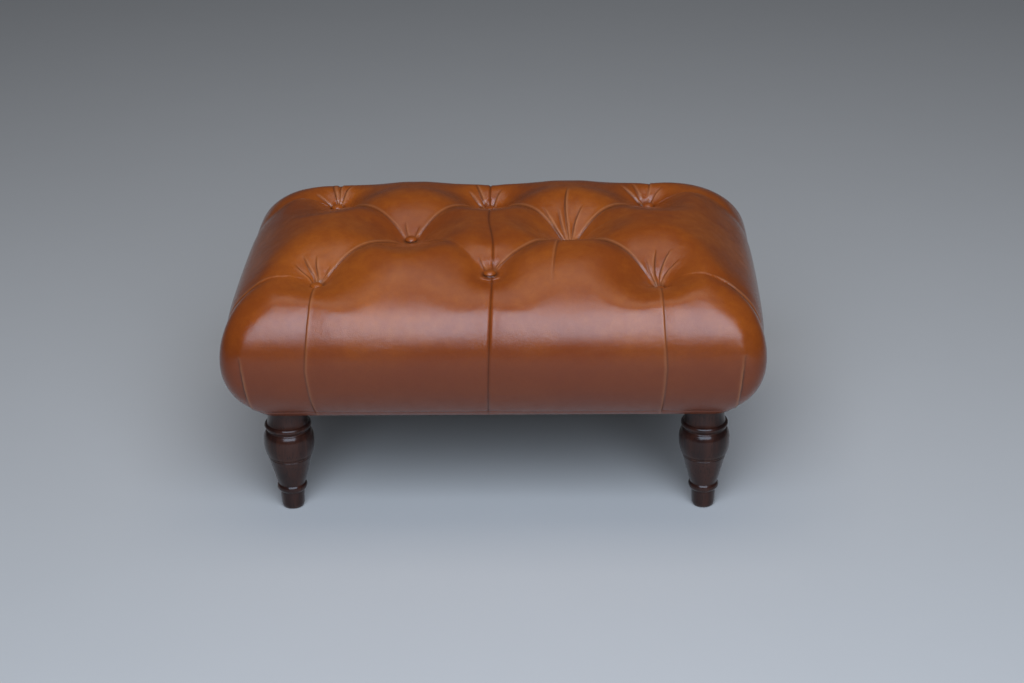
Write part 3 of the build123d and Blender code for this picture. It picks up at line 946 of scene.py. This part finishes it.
def new_material(name, **values):
    """A material with its Principled shader's sockets set, and object coordinates."""
    material = bpy.data.materials.new(name)
    material.use_nodes = True
    tree = material.node_tree
    shader = tree.nodes["Principled BSDF"]
    for key, value in values.items():
        shader.inputs[key.replace("_", " ")].default_value = value
    return material, tree, shader, node(tree, "TexCoord").outputs["Object"]


def mix_colour(tree, factor, first, second):
    """A colour mixed between two colours or sockets by a factor socket."""
    inputs = {0: factor}
    for key, value in ((MIX_A, first), (MIX_B, second)):
        inputs[key] = value if isinstance(value, bpy.types.NodeSocket) else (*value, 1)
    return node(tree, "Mix", inputs, data_type="RGBA").outputs[MIX_RESULT]


def scaled_by(tree, value, factor, offset=0.0):
    """A value times a factor plus an offset, clamped from 0 to 1."""
    return calc(tree, "MULTIPLY_ADD", value, factor, offset, clamp=True)


def finished(tree, shader, colour, roughness, *layers):
    """Gives the shader a colour, a roughness and bumps from (height, strength, distance)."""
    tree.links.new(colour, shader.inputs["Base Color"])
    tree.links.new(roughness, shader.inputs["Roughness"])
    below = {}
    for height, strength, distance in layers:
        inputs = {"Height": height, "Strength": strength, "Distance": distance, **below}
        below = {"Normal": node(tree, "Bump", inputs).outputs["Normal"]}
    tree.links.new(below["Normal"], shader.inputs["Normal"])
    tree.links.new(below["Normal"], shader.inputs["Coat Normal"])


def hide_leather(settings):
    """Waxed aniline leather: clouded tan, with painted shade in the folds and down the lower sides,
    and pull-up lightening with a painted highlight where it is bent.
    """
    material, tree, shader, spot = new_material(
        "tan_hide", Roughness=0.42, Specular_IOR_Level=0.08, Coat_Weight=settings.gloss,
        Coat_Roughness=0.18, Coat_IOR=1.46,
    )
    clouds = placed(tree, "Clouds", spot, Scale=8.0, Contrast=1.3)["Mask"]
    mottle = placed(tree, "Clouds", spot, Scale=60.0, Contrast=1.1)["Mask"]
    grain = placed(tree, "Hide Grain", spot, Scale=620.0)
    hide = mix_colour(tree, clouds, settings.russet, settings.tan)
    hide = mix_colour(tree, scaled_by(tree, mottle, 0.5), hide, settings.russet)
    # Painted light: low paints shade down the lower sides, fold paints shade in the folds, and bend
    # paints pull-up lightening with a highlight on each fold's lip.
    masks = (("low", settings.side), ("fold", settings.crease), ("bend", settings.pull_up_and_lip_highlight))
    for name, shade in masks:
        mask = node(tree, "Attribute", attribute_name=name).outputs["Fac"]
        hide = mix_colour(tree, mask, hide, shade)
    hide = mix_colour(tree, scaled_by(tree, grain["Pores"], 0.22), hide, settings.crease)
    finished(
        tree, shader, hide, scaled_by(tree, mottle, 0.16, 0.36),
        (mottle, 0.25, 0.0006), (grain["Height"], 0.22, 0.00035),
    )
    return material


def stained_timber(settings):
    """Dark stained and lacquered hardwood, rubbed on its rings, with a few small chips."""
    material, tree, shader, spot = new_material(
        "stained_hardwood", Roughness=0.38, Specular_IOR_Level=0.1,
        Coat_Weight=settings.lacquer, Coat_Roughness=0.13, Coat_IOR=1.45,
    )
    timber = placed(tree, "Timber", spot, Scale=1.0)
    wear = placed(tree, "Edge Wear", spot, Amount=0.5, Scale=210.0)["Mask"]
    wood = mix_colour(tree, timber["Figure"], settings.stain, settings.stain_light)
    wood = mix_colour(tree, scaled_by(tree, timber["Pores"], 0.7), wood, STAINED_PORES)
    wood = mix_colour(tree, wear, wood, RUBBED_STAIN)
    nicks = node(tree, "TexVoronoi", {"Vector": spot, "Scale": 62.0, "Randomness": 1.0})
    small = ramp(tree, nicks.outputs["Distance"], (0.045, 1.0), (0.075, 0.0))
    rare = ramp(tree, noise(tree, spot, 21.0, 1.0), (0.60, 0.0), (0.64, 1.0))
    chip = calc(tree, "MULTIPLY", small, rare, clamp=True)
    finished(
        tree, shader, mix_colour(tree, chip, wood, CHIPPED_STAIN),
        scaled_by(tree, timber["Pores"], 0.2, 0.3),
        (timber["Pores"], 0.12, 0.0002), (scaled_by(tree, chip, -1.0, 1.0), 0.6, 0.0004),
    )
    return material


GRAIN_TURNS = {"X": (0, radians(90), 0), "Y": (radians(90), 0, 0), "Z": (0, 0, 0)}


def bare_timber(name, base, along_axis, figure_scale=1.0):
    """Unfinished wood with its grain along one axis, sawn and lightly sanded."""
    material, tree, shader, spot = new_material(name, Roughness=0.72)
    turned = node(tree, "Mapping", {"Vector": spot, "Rotation": GRAIN_TURNS[along_axis]})
    timber = placed(tree, "Timber", turned.outputs["Vector"], Scale=figure_scale)
    clouds = placed(tree, "Clouds", spot, Scale=12.0, Contrast=0.8)["Mask"]
    dark = tuple(c * 0.68 for c in base)
    pores = tuple(c * 0.4 for c in base)
    wood = mix_colour(tree, timber["Figure"], dark, base)
    wood = mix_colour(tree, scaled_by(tree, clouds, 0.3), wood, dark)
    wood = mix_colour(tree, scaled_by(tree, timber["Pores"], 0.5), wood, pores)
    roughness = scaled_by(tree, timber["Figure"], -0.12, 0.78)
    finished(tree, shader, wood, roughness, (timber["Pores"], 0.3, 0.0003))
    return material


def plated_steel():
    """Zinc-plated steel with a faint crystalline bloom and dull edges."""
    material, tree, shader, spot = new_material("plated_steel", Metallic=1.0, Roughness=0.32)
    bloom = placed(tree, "Clouds", spot, Scale=420.0, Contrast=1.2)["Mask"]
    wear = placed(tree, "Edge Wear", spot, Amount=0.7, Scale=500.0)["Mask"]
    steel = mix_colour(tree, bloom, (0.50, 0.51, 0.50), (0.70, 0.70, 0.66))
    steel = mix_colour(tree, wear, steel, (0.34, 0.31, 0.27))
    finished(tree, shader, steel, scaled_by(tree, bloom, 0.22, 0.24), (bloom, 0.1, 0.0001))
    return material


def open_foam():
    """Open-cell foam, slightly yellowed."""
    material, tree, shader, spot = new_material("open_foam", Roughness=0.95)
    cells = placed(tree, "Hide Grain", spot, Scale=700.0)
    clouds = placed(tree, "Clouds", spot, Scale=14.0, Contrast=0.7)["Mask"]
    foam = mix_colour(tree, clouds, (0.66, 0.57, 0.36), (0.78, 0.73, 0.55))
    foam = mix_colour(tree, scaled_by(tree, cells["Pores"], 0.6), foam, (0.38, 0.31, 0.18))
    roughness = scaled_by(tree, clouds, 0.05, 0.9)
    finished(tree, shader, foam, roughness, (cells["Height"], 0.6, 0.0008))
    return material


def lofty_wadding():
    """White polyester wadding with matted fibres."""
    material, tree, shader, spot = new_material(
        "lofty_wadding", Roughness=0.95, Sheen_Weight=0.4, Sheen_Roughness=0.6
    )
    fibres = placed(tree, "Clouds", spot, Scale=90.0, Contrast=1.3)["Mask"]
    tone = mix_colour(tree, fibres, (0.72, 0.72, 0.70), (0.88, 0.88, 0.86))
    finished(tree, shader, tone, scaled_by(tree, fibres, 0.08, 0.88), (fibres, 0.7, 0.002))
    return material


def spun_twine():
    """Waxed nylon twine."""
    material, tree, shader, spot = new_material("waxed_twine", Roughness=0.6)
    strands = placed(tree, "Weave", spot, Scale=1500.0)
    clouds = placed(tree, "Clouds", spot, Scale=60.0, Contrast=0.8)["Mask"]
    twine = mix_colour(tree, clouds, (0.55, 0.46, 0.30), (0.72, 0.65, 0.48))
    twine = mix_colour(tree, scaled_by(tree, strands["Gaps"], 0.5), twine, (0.30, 0.23, 0.13))
    roughness = scaled_by(tree, clouds, 0.15, 0.5)
    finished(tree, shader, twine, roughness, (strands["Height"], 0.6, 0.0003))
    return material


def black_cambric():
    """Thin black upholsterer's cloth, with lint and dust on it."""
    material, tree, shader, spot = new_material(
        "black_cambric", Roughness=0.9, Sheen_Weight=0.35, Sheen_Roughness=0.5
    )
    weave = placed(tree, "Weave", spot, Scale=520.0)
    dust = placed(tree, "Clouds", spot, Scale=16.0, Contrast=1.1)["Mask"]
    cloth = mix_colour(tree, weave["Gaps"], (0.024, 0.024, 0.026), (0.006, 0.006, 0.007))
    cloth = mix_colour(tree, scaled_by(tree, dust, 0.25), cloth, (0.10, 0.095, 0.088))
    roughness = scaled_by(tree, dust, 0.1, 0.82)
    finished(tree, shader, cloth, roughness, (weave["Height"], 0.5, 0.0003))
    return material


def plain_floor(settings):
    """A plain pale floor with a faint, even texture."""
    material, tree, shader, spot = new_material("plain_floor", Roughness=0.55)
    clouds = placed(tree, "Clouds", spot, Scale=1.2, Contrast=0.25)["Mask"]
    darker = tuple(c * 0.93 for c in settings.floor_tone)
    toned = mix_colour(tree, clouds, darker, settings.floor_tone)
    tree.links.new(toned, shader.inputs["Base Color"])
    return material


FINISHES = {}


def finish(name, maker, *values):
    """A material, made the first time it is asked for."""
    if name not in FINISHES:
        FINISHES[name] = maker(*values)
    return FINISHES[name]


def dress(piece, material):
    """Gives a piece one material on all of its faces."""
    piece.data.materials.clear()
    piece.data.materials.append(material)
    return piece


def dress_node(name, material):
    """Gives a shown frame node its finish, in each of its material slots."""
    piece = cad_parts[name]
    for place in piece.material_slots:
        place.material = material
    if not piece.material_slots:
        piece.data.materials.append(material)


# ---- operators ----------------------------------------------------------------------------

SHAPES = {}


def lapped_creases(stuffing, settings):
    """Every fold of the hide but the puckers."""
    return (
        diamond_creases(stuffing, settings.valley_depth)
        + side_pleats(stuffing, settings.side_valley_depth)
        + corner_pleats(stuffing)
        + shoulder_drag(stuffing)
    )


def shaped_cover(settings):
    """The whole cover, buttoned down and puffed, before subdivision, with its rest places."""
    stuffing = Stuffing(settings)
    points, quads = cover_grid(stuffing, settings.grid_step)
    points[:, 0] += seam_x(points[:, 1], points[:, 2]) * bell(points[:, 0], 0, SEAM_PULL_REACH)
    piece = make_mesh("cover", points, quads)
    normals = mesh_normals(piece.data)
    hem = points[:, 2] < RAIL_Z + 0.0005
    normals[hem] = 0
    keep_attribute(piece.data, "rest", points, "FLOAT_VECTOR")
    seam = centre_seam(stuffing, settings.side_valley_depth)
    creases = lapped_creases(stuffing, settings) + seam
    shaped = puffed(points, normals, settings.puff_height)
    shaped = button_down(shaped, normals, creases)
    set_points(piece.data, shaped)
    simulate_stuffing(piece, hold_weights(points, normals, creases), settings)
    return piece, stuffing


def hold_weights(points, normals, creases):
    """How firmly each point is held while the cover is puffed."""
    hold = np.where(points[:, 2] < RAIL_Z + HELD_HEM, 1.0, 0.2)
    for seat in SEATS.values():
        away = np.hypot(points[:, 0] - seat.x, points[:, 1] - seat.y)
        near = np.where(points[:, 2] > TOP_LEVEL, 1 - smooth((away - 0.008) / 0.012), 0)
        hold = np.maximum(hold, near)
    for crease in creases:
        chosen, away, _ = crease.near(points, normals)
        hold[chosen] = np.maximum(hold[chosen], 0.6 * (1 - smooth(np.abs(away) / 0.010)))
    return hold


def drawn_to_lines(points, rest, normals, creases):
    """Points slid along the hide towards the folds, so that each fold has enough of them."""
    for crease in creases:
        chosen, away, place = crease.near(rest, normals)
        close = np.abs(away) < DRAW_REACH
        chosen, away = chosen[close], away[close]
        if not len(chosen):
            continue
        tangent = crease_direction(crease, rest[chosen])
        across = np.cross(normals[chosen], tangent)
        firm = np.clip(along(crease.fold, place[close]) / 0.0008, 0, 1)
        corner_x = np.abs(rest[chosen, 0]) - HALF_LENGTH + INNER_INSET
        corner_y = np.abs(rest[chosen, 1]) - HALF_DEPTH + INNER_INSET
        firm *= smooth((np.hypot(corner_x, corner_y) - 0.012) / 0.025)
        pull = -DRAW_SHARE * firm * away * (1 - (away / DRAW_REACH) ** 2) ** 2
        points[chosen] += across * pull[:, None]
        rest[chosen] += across * pull[:, None]
    return points, rest


def crease_direction(crease, spots):
    """The line's own direction beside each spot."""
    middles = (crease.points[1:] + crease.points[:-1]) / 2
    steps = np.diff(crease.points, axis=0)
    steps /= np.linalg.norm(steps, axis=1)[:, None]
    nearest = np.argmin(((spots[:, None, :] - middles[None]) ** 2).sum(-1), axis=1)
    return steps[nearest]


def add_fine_folds(piece, stuffing, settings):
    """Lapped folds, puckers, the seam's groove and the masks of painted shade and painted highlight
    on the dense mesh.
    """
    mesh = piece.data
    points = mesh_points(mesh)
    rest = read_attribute(mesh, "rest")
    normals = mesh_normals(mesh)
    fine = lapped_creases(stuffing, settings) + pucker_creases(stuffing)
    points, rest = drawn_to_lines(points, rest, normals, fine)
    lift = np.zeros(len(points))
    fold = np.zeros(len(points))
    bend = np.zeros(len(points))
    for crease in fine:
        chosen, away, place = crease.near(rest, normals)
        height = along(crease.fold, place)
        lift[chosen] += lapped(away, crease.lap, height)
        s = away * crease.lap
        strength = np.clip(height / 0.0015, 0, 1)
        # fold: painted shade in each fold's crevice; bend: pull-up lightening and a painted
        # highlight on its raised lip.
        fold[chosen] = np.maximum(fold[chosen], strength * bell(s, -0.0001, FOLD_LINE))
        bend[chosen] = np.maximum(bend[chosen], strength * bell(s, 0.0024, 0.0016))
    away = rest[:, 0] - seam_x(rest[:, 1], rest[:, 2])
    lift += seam_groove(away)
    # Painted shade along the seam's groove.
    fold = np.maximum(fold, 0.75 * bell(away, 0, FOLD_LINE))
    under_buttons = np.zeros(len(points))
    for seat in SEATS.values():
        gap = np.hypot(rest[:, 0] - seat.x, rest[:, 1] - seat.y)
        gap[rest[:, 2] <= TOP_LEVEL] = np.inf
        under_buttons = np.maximum(under_buttons, 1 - smooth((gap - BUTTON_EDGE) / 0.005))
        # Painted shade in a ring just round each button.
        fold = np.maximum(fold, 0.7 * bell(gap, 0.009, 0.003))
    lift *= 1 - under_buttons
    above_hem = rest[:, 2] - RAIL_Z
    lift *= smooth((above_hem - 0.0015) / 0.006)
    lift -= 0.0009 * bell(above_hem, 0.0075, 0.0016)
    set_points(mesh, points + normals * lift[:, None])
    keep_attribute(mesh, "rest", rest, "FLOAT_VECTOR")
    # The painted light's masks: shade in the folds, pull-up lightening with highlight on the lips,
    # and shade down the sides below about 0.32 m.
    keep_attribute(mesh, "fold", 0.85 * fold)
    keep_attribute(mesh, "bend", 0.30 * bend)
    keep_attribute(mesh, "low", 0.85 * (1 - smooth((rest[:, 2] - 0.235) / 0.085)))


def half_of(piece, name, end):
    """A copy of the cover with only the faces on one side of the centre seam."""
    copy = piece.copy()
    copy.data = piece.data.copy()
    copy.name = name
    copy.data.name = name
    bpy.context.scene.collection.objects.link(copy)
    rest = read_attribute(copy.data, "rest")
    beside = rest[:, 0] - seam_x(rest[:, 1], rest[:, 2])
    work = bmesh.new()
    work.from_mesh(copy.data)
    work.verts.ensure_lookup_table()
    away = [f for f in work.faces if sum(beside[v.index] for v in f.verts) * end < 0]
    bmesh.ops.delete(work, geom=away, context="FACES")
    work.to_mesh(copy.data)
    work.free()
    copy.data.polygons.foreach_set("use_smooth", [True] * len(copy.data.polygons))
    return copy


class FOOTSTOOL_OT_cover(bpy.types.Operator):
    """Makes the two halves of the leather cover, tufted and drawn over the stuffing"""

    bl_idname = "footstool.cover"
    bl_label = "Leather Cover"

    def execute(self, context):
        settings = context.scene.footstool_shape
        piece, stuffing = shaped_cover(settings)
        SHAPES["coarse"] = (mesh_points(piece.data), mesh_normals(piece.data), quads_of(piece.data))
        subdivide(piece, 2)
        add_fine_folds(piece, stuffing, settings)
        leather = finish("tan_hide", hide_leather, context.scene.footstool_leather)
        for name, node_name, end in (
            ("leather_left", "cover_left", -1),
            ("leather_right", "cover_right", 1),
        ):
            half = dress(half_of(piece, name, end), leather)
            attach(half, BODY)
            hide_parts(node_name)
        bpy.data.objects.remove(piece)
        return {"FINISHED"}


def quads_of(mesh):
    """A quad mesh's faces as an array."""
    flat = np.zeros(len(mesh.loops), np.int32)
    mesh.loops.foreach_get("vertex_index", flat)
    return flat.reshape(-1, 4)


def layer(name, rows, outer, inner):
    """A closed blanket that lies between two depths under the cover."""
    top, normals, faces = rows
    count = len(top)
    both = np.concatenate([top - normals * outer, top - normals * inner])
    pairs = np.concatenate([faces[:, [i, (i + 1) % 4]] for i in range(4)])
    edges = dict.fromkeys(map(tuple, pairs.tolist()))
    rim = [(a, b) for (a, b) in edges if (b, a) not in edges]
    walls = np.array([(b, a, a + count, b + count) for a, b in rim])
    return make_mesh(name, both, np.concatenate([faces, faces[:, ::-1] + count, walls]))


def body_rows():
    """The coarse cover without its hem and lowest rows, renumbered."""
    points, normals, quads = SHAPES["coarse"]
    kept_faces = quads[(points[quads][:, :, 2] > RAIL_Z + HELD_HEM).all(axis=1)]
    used = np.unique(kept_faces)
    renumber = np.full(len(points), -1)
    renumber[used] = np.arange(len(used))
    return points[used], normals[used], renumber[kept_faces]


WADDING_DEPTHS = (0.0045, 0.0085)
FOAM_DEPTH = 0.0098


class FOOTSTOOL_OT_stuffing(bpy.types.Operator):
    """Makes the wadding under the leather and the top foam under the wadding"""

    bl_idname = "footstool.stuffing"
    bl_label = "Wadding and Foam"

    def execute(self, context):
        wadding = layer("wadding_blanket", body_rows(), *WADDING_DEPTHS)
        dress(wadding, finish("lofty_wadding", lofty_wadding))
        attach(wadding, BODY)
        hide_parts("wadding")
        foam = self.foam_block()
        dress(foam, finish("open_foam", open_foam))
        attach(foam, BODY)
        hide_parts("foam_core")
        return {"FINISHED"}

    def foam_block(self):
        """The foam: the buttoned surface at the wadding's depth, cut flat over the deck."""
        points, normals, quads = body_rows()
        foam = make_mesh("top_foam", points - normals * FOAM_DEPTH, quads)
        work = bmesh.new()
        work.from_mesh(foam.data)
        cut = bmesh.ops.bisect_plane(
            work, geom=work.verts[:] + work.edges[:] + work.faces[:],
            plane_co=(0, 0, DECK_TOP_Z + 0.0004), plane_no=(0, 0, 1), clear_inner=True,
        )
        edges = [e for e in cut["geom_cut"] if isinstance(e, bmesh.types.BMEdge)]
        bmesh.ops.contextual_create(work, geom=edges)
        work.to_mesh(foam.data)
        work.free()
        return foam


def turned_mesh(name, outline, count, centre, ripple=0.0):
    """A mesh turned about an upright axis from (radius, height) points, with a rim ripple."""
    points = [(0, 0, outline[0][1])]
    for radius, z in outline[1:-1]:
        for i in range(count):
            turn = 2 * pi * i / count
            wave = 1 + ripple * sin(9 * turn + 1.3) * sin(4 * turn) * (z < 0.003)
            points.append((radius * wave * cos(turn), radius * wave * sin(turn), z))
    points.append((0, 0, outline[-1][1]))
    rows = len(outline) - 2
    faces = [(0, 1 + i, 1 + (i + 1) % count) for i in range(count)]
    for row in range(rows - 1):
        for i in range(count):
            a, b = 1 + row * count + i, 1 + row * count + (i + 1) % count
            faces.append((a, a + count, b + count, b))
    last = len(points) - 1
    base = 1 + (rows - 1) * count
    faces += [(base + (i + 1) % count, base + i, last) for i in range(count)]
    return make_mesh(name, [Vector(p) + centre for p in points], faces)


BUTTON_PROFILE = (
    (0.0, 1.0), (0.25, 0.985), (0.5, 0.93), (0.72, 0.80), (0.88, 0.60), (0.97, 0.38),
    (1.0, 0.20), (0.97, 0.06), (0.86, 0.0), (0.5, 0.0), (0.0, 0.0),
)


class FOOTSTOOL_OT_buttons(bpy.types.Operator):
    """Makes the eight leather-covered buttons"""

    bl_idname = "footstool.buttons"
    bl_label = "Covered Buttons"

    def execute(self, context):
        leather = finish("tan_hide", hide_leather, context.scene.footstool_leather)
        for place in PLACES:
            low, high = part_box("button_" + place)
            radius = (high.x - low.x) / 2
            height = high.z - low.z
            outline = [(radius * out, height * up) for out, up in BUTTON_PROFILE]
            button = turned_mesh("covered_button_" + place, outline, 40, SEATS[place], 0.012)
            subdivide(button, 1)
            # Painted shade round the button's lower rim.
            keep_attribute(button.data, "fold", button_rim(button, place, radius))
            dress(button, leather)
            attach(button, BODY)
            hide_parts("button_" + place)
        return {"FINISHED"}


def button_rim(button, place, radius):
    """How far each point lies out to the rim and how low it is, where painted shade darkens the
    gathered hide.
    """
    points = mesh_points(button.data)
    seat = SEATS[place]
    out = np.hypot(points[:, 0] - seat.x, points[:, 1] - seat.y) / radius
    low = 1 - smooth((points[:, 2] - seat.z) / 0.0028)
    return 0.8 * smooth((out - 0.8) / 0.2) * low


class FOOTSTOOL_OT_legs(bpy.types.Operator):
    """Finishes the four turned legs in stained and lacquered hardwood"""

    bl_idname = "footstool.legs"
    bl_label = "Turned Legs"

    def execute(self, context):
        timber = finish("stained_hardwood", stained_timber, context.scene.footstool_timber)
        for corner in CORNERS:
            dress_node("leg_" + corner, timber)
        return {"FINISHED"}


class FOOTSTOOL_OT_frame(bpy.types.Operator):
    """Finishes the rails, deck, blocks, pads and ties inside the cover"""

    bl_idname = "footstool.frame"
    bl_label = "Frame and Deck"

    def execute(self, context):
        beech = tuple(context.scene.footstool_timber.beech)
        lengthwise = finish("beech_along_x", bare_timber, "beech_along_x", beech, "X")
        crosswise = finish("beech_along_y", bare_timber, "beech_along_y", beech, "Y")
        upright = finish("beech_upright", bare_timber, "beech_upright", beech, "Z")
        plywood = finish("birch_plywood", bare_timber, "birch_plywood", beech, "X", 0.6)
        foam = finish("open_foam", open_foam)
        for name in ("front_rail", "rear_rail", "twine_toggles"):
            dress_node(name, lengthwise)
        for name in ("left_rail", "right_rail", "centre_rail", "rail_dowels"):
            dress_node(name, crosswise)
        for corner in CORNERS:
            dress_node("corner_block_" + corner, upright)
        dress_node("deck_board", plywood)
        for side in ("front", "rear", "left", "right"):
            dress_node("side_pad_" + side, foam)
        dress_node("button_twines", finish("waxed_twine", spun_twine))
        return {"FINISHED"}


class FOOTSTOOL_OT_hardware(bpy.types.Operator):
    """Finishes the screws, bolts, nuts, staples and button cores in plated steel"""

    bl_idname = "footstool.hardware"
    bl_label = "Steel Parts"

    def execute(self, context):
        steel = finish("plated_steel", plated_steel)
        for name in (
            "deck_screws", "corner_block_screws", "leg_bolts", "tee_nuts",
            "button_cores", "cover_staples", "dust_cover_staples",
        ):
            dress_node(name, steel)
        return {"FINISHED"}


CLOTH_STEP = 0.004
CLOTH_SAG = 0.0045


class FOOTSTOOL_OT_underside(bpy.types.Operator):
    """Makes the black dust cover, stapled flat round its edge and slack in the middle"""

    bl_idname = "footstool.underside"
    bl_label = "Dust Cover"

    def execute(self, context):
        low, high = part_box("dust_cover")
        width, depth = high.x - low.x, high.y - low.y
        xs = np.linspace(low.x, high.x, int(width / CLOTH_STEP))
        ys = np.linspace(low.y, high.y, int(depth / CLOTH_STEP))
        gx, gy = np.meshgrid(xs, ys)
        gx, gy = gx.ravel(), gy.ravel()
        edge = np.minimum(high.x - np.abs(gx), high.y - np.abs(gy))
        sag = CLOTH_SAG * smooth(edge / 0.12)
        slack = 0.0006 * np.sin(gx * 41 + 2 * np.sin(gy * 17)) * np.sin(gy * 23 + 1.1)
        gathers = 0.0005 * np.sin((gx + gy) * 2 * pi / 0.058) * np.exp(-edge / 0.02)
        z = low.z - sag - slack * smooth(edge / 0.06) + gathers * smooth(edge / 0.006)
        quads = grid_quads(len(xs), len(ys))[1][:, [0, 3, 2, 1]]
        clear = np.ones(len(quads), bool)
        for corner in CORNERS:
            axis = leg_axis(corner)
            inside = np.hypot(gx - axis.x, gy - axis.y) < LEG_SPACE
            clear &= ~inside[quads].all(axis=1)
            gx, gy = clear_of_leg(gx, gy, axis)
        cloth = make_mesh("dust_cloth", np.stack([gx, gy, z], axis=1), quads[clear])
        dress(cloth, finish("black_cambric", black_cambric))
        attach(cloth, BODY)
        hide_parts("dust_cover")
        return {"FINISHED"}


# Light cards: name, place, target, size, power and tint.
CARDS = (
    ("sky_card", (0.2, -2.3, 2.3), (0.0, 0.0, 0.3), (3.0, 2.5), 136.0, (0.66, 0.80, 1.0)),
    ("top_card", (0.0, 0.1, 2.8), (0.0, 0.0, 0.0), (2.4, 1.4), 12.0, (1.0, 0.95, 0.88)),
)


class FOOTSTOOL_OT_stage(bpy.types.Operator):
    """Makes the floor, the lights and the camera"""

    bl_idname = "footstool.stage"
    bl_label = "Stage"

    def execute(self, context):
        settings = context.scene.footstool_stage
        context.scene.view_settings.view_transform = "Standard"
        self.floor(settings)
        self.lights()
        self.camera(settings)
        return {"FINISHED"}

    def floor(self, settings):
        """A wide plain floor."""
        half = 9.0
        plan = ((-half, -half), (half, -half), (half, half), (-half, half))
        floor = make_mesh("floor", [(x, y, 0.0) for x, y in plan], [(0, 1, 2, 3)])
        dress(floor, finish("plain_floor", plain_floor, settings))

    def lights(self):
        """A wide soft light high in front, a weak one overhead, and a dim surround."""
        for card in CARDS:
            self.area(*card)
        world = bpy.data.worlds.new("surround")
        world.use_nodes = True
        background = world.node_tree.nodes["Background"]
        background.inputs["Color"].default_value = (0.80, 0.84, 0.90, 1)
        background.inputs["Strength"].default_value = 0.06
        bpy.context.scene.world = world

    def area(self, name, place, target, size, power, tint):
        """One rectangular area light aimed at a target."""
        lamp = bpy.data.lights.new(name, "AREA")
        lamp.shape = "RECTANGLE"
        lamp.size, lamp.size_y = size
        lamp.energy = power
        lamp.color = tint
        piece = bpy.data.objects.new(name, lamp)
        piece.location = place
        aim = Vector(target) - Vector(place)
        piece.rotation_euler = aim.to_track_quat("-Z", "Y").to_euler()
        piece.visible_camera = False
        bpy.context.scene.collection.objects.link(piece)

    def camera(self, settings):
        """The camera, looking down at the stool from the front."""
        lens = bpy.data.cameras.new("camera")
        lens.lens = settings.lens
        lens.sensor_width = 36.0
        camera = bpy.data.objects.new("camera", lens)
        turn = (
            Matrix.Rotation(settings.camera_yaw, 4, "Z")
            @ Matrix.Rotation(pi / 2 - settings.camera_pitch, 4, "X")
            @ Matrix.Rotation(settings.camera_roll, 4, "Z")
        )
        camera.matrix_world = Matrix.Translation(settings.camera_place) @ turn
        bpy.context.scene.collection.objects.link(camera)
        bpy.context.scene.camera = camera


class FOOTSTOOL_PT_panel(bpy.types.Panel):
    """The footstool's steps and settings in the sidebar"""

    bl_idname = "FOOTSTOOL_PT_panel"
    bl_label = "Footstool"
    bl_space_type = "VIEW_3D"
    bl_region_type = "UI"
    bl_category = "Footstool"

    def draw(self, context):
        for step in STEPS:
            self.layout.operator(step.bl_idname)
        for key in SETTINGS:
            settings = getattr(context.scene, key)
            box = self.layout.box()
            for name in settings.__annotations__:
                box.prop(settings, name)


STEPS = (
    FOOTSTOOL_OT_cover,
    FOOTSTOOL_OT_stuffing,
    FOOTSTOOL_OT_buttons,
    FOOTSTOOL_OT_legs,
    FOOTSTOOL_OT_frame,
    FOOTSTOOL_OT_hardware,
    FOOTSTOOL_OT_underside,
    FOOTSTOOL_OT_stage,
)
SETTINGS = {
    "footstool_shape": FootstoolShape,
    "footstool_leather": FootstoolLeather,
    "footstool_timber": FootstoolTimber,
    "footstool_stage": FootstoolStage,
}


def register():
    for settings in SETTINGS.values():
        bpy.utils.register_class(settings)
    for step in (*STEPS, FOOTSTOOL_PT_panel):
        bpy.utils.register_class(step)
    for key, settings in SETTINGS.items():
        setattr(bpy.types.Scene, key, bpy.props.PointerProperty(type=settings))


def unregister():
    for key in SETTINGS:
        delattr(bpy.types.Scene, key)
    for step in (FOOTSTOOL_PT_panel, *reversed(STEPS)):
        bpy.utils.unregister_class(step)
    for settings in SETTINGS.values():
        bpy.utils.unregister_class(settings)


def main():
    """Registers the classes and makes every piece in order."""
    register()
    bpy.ops.footstool.cover()
    bpy.ops.footstool.stuffing()
    bpy.ops.footstool.buttons()
    bpy.ops.footstool.legs()
    bpy.ops.footstool.frame()
    bpy.ops.footstool.hardware()
    bpy.ops.footstool.underside()
    bpy.ops.footstool.stage()


if __name__ == "__main__":
    main()
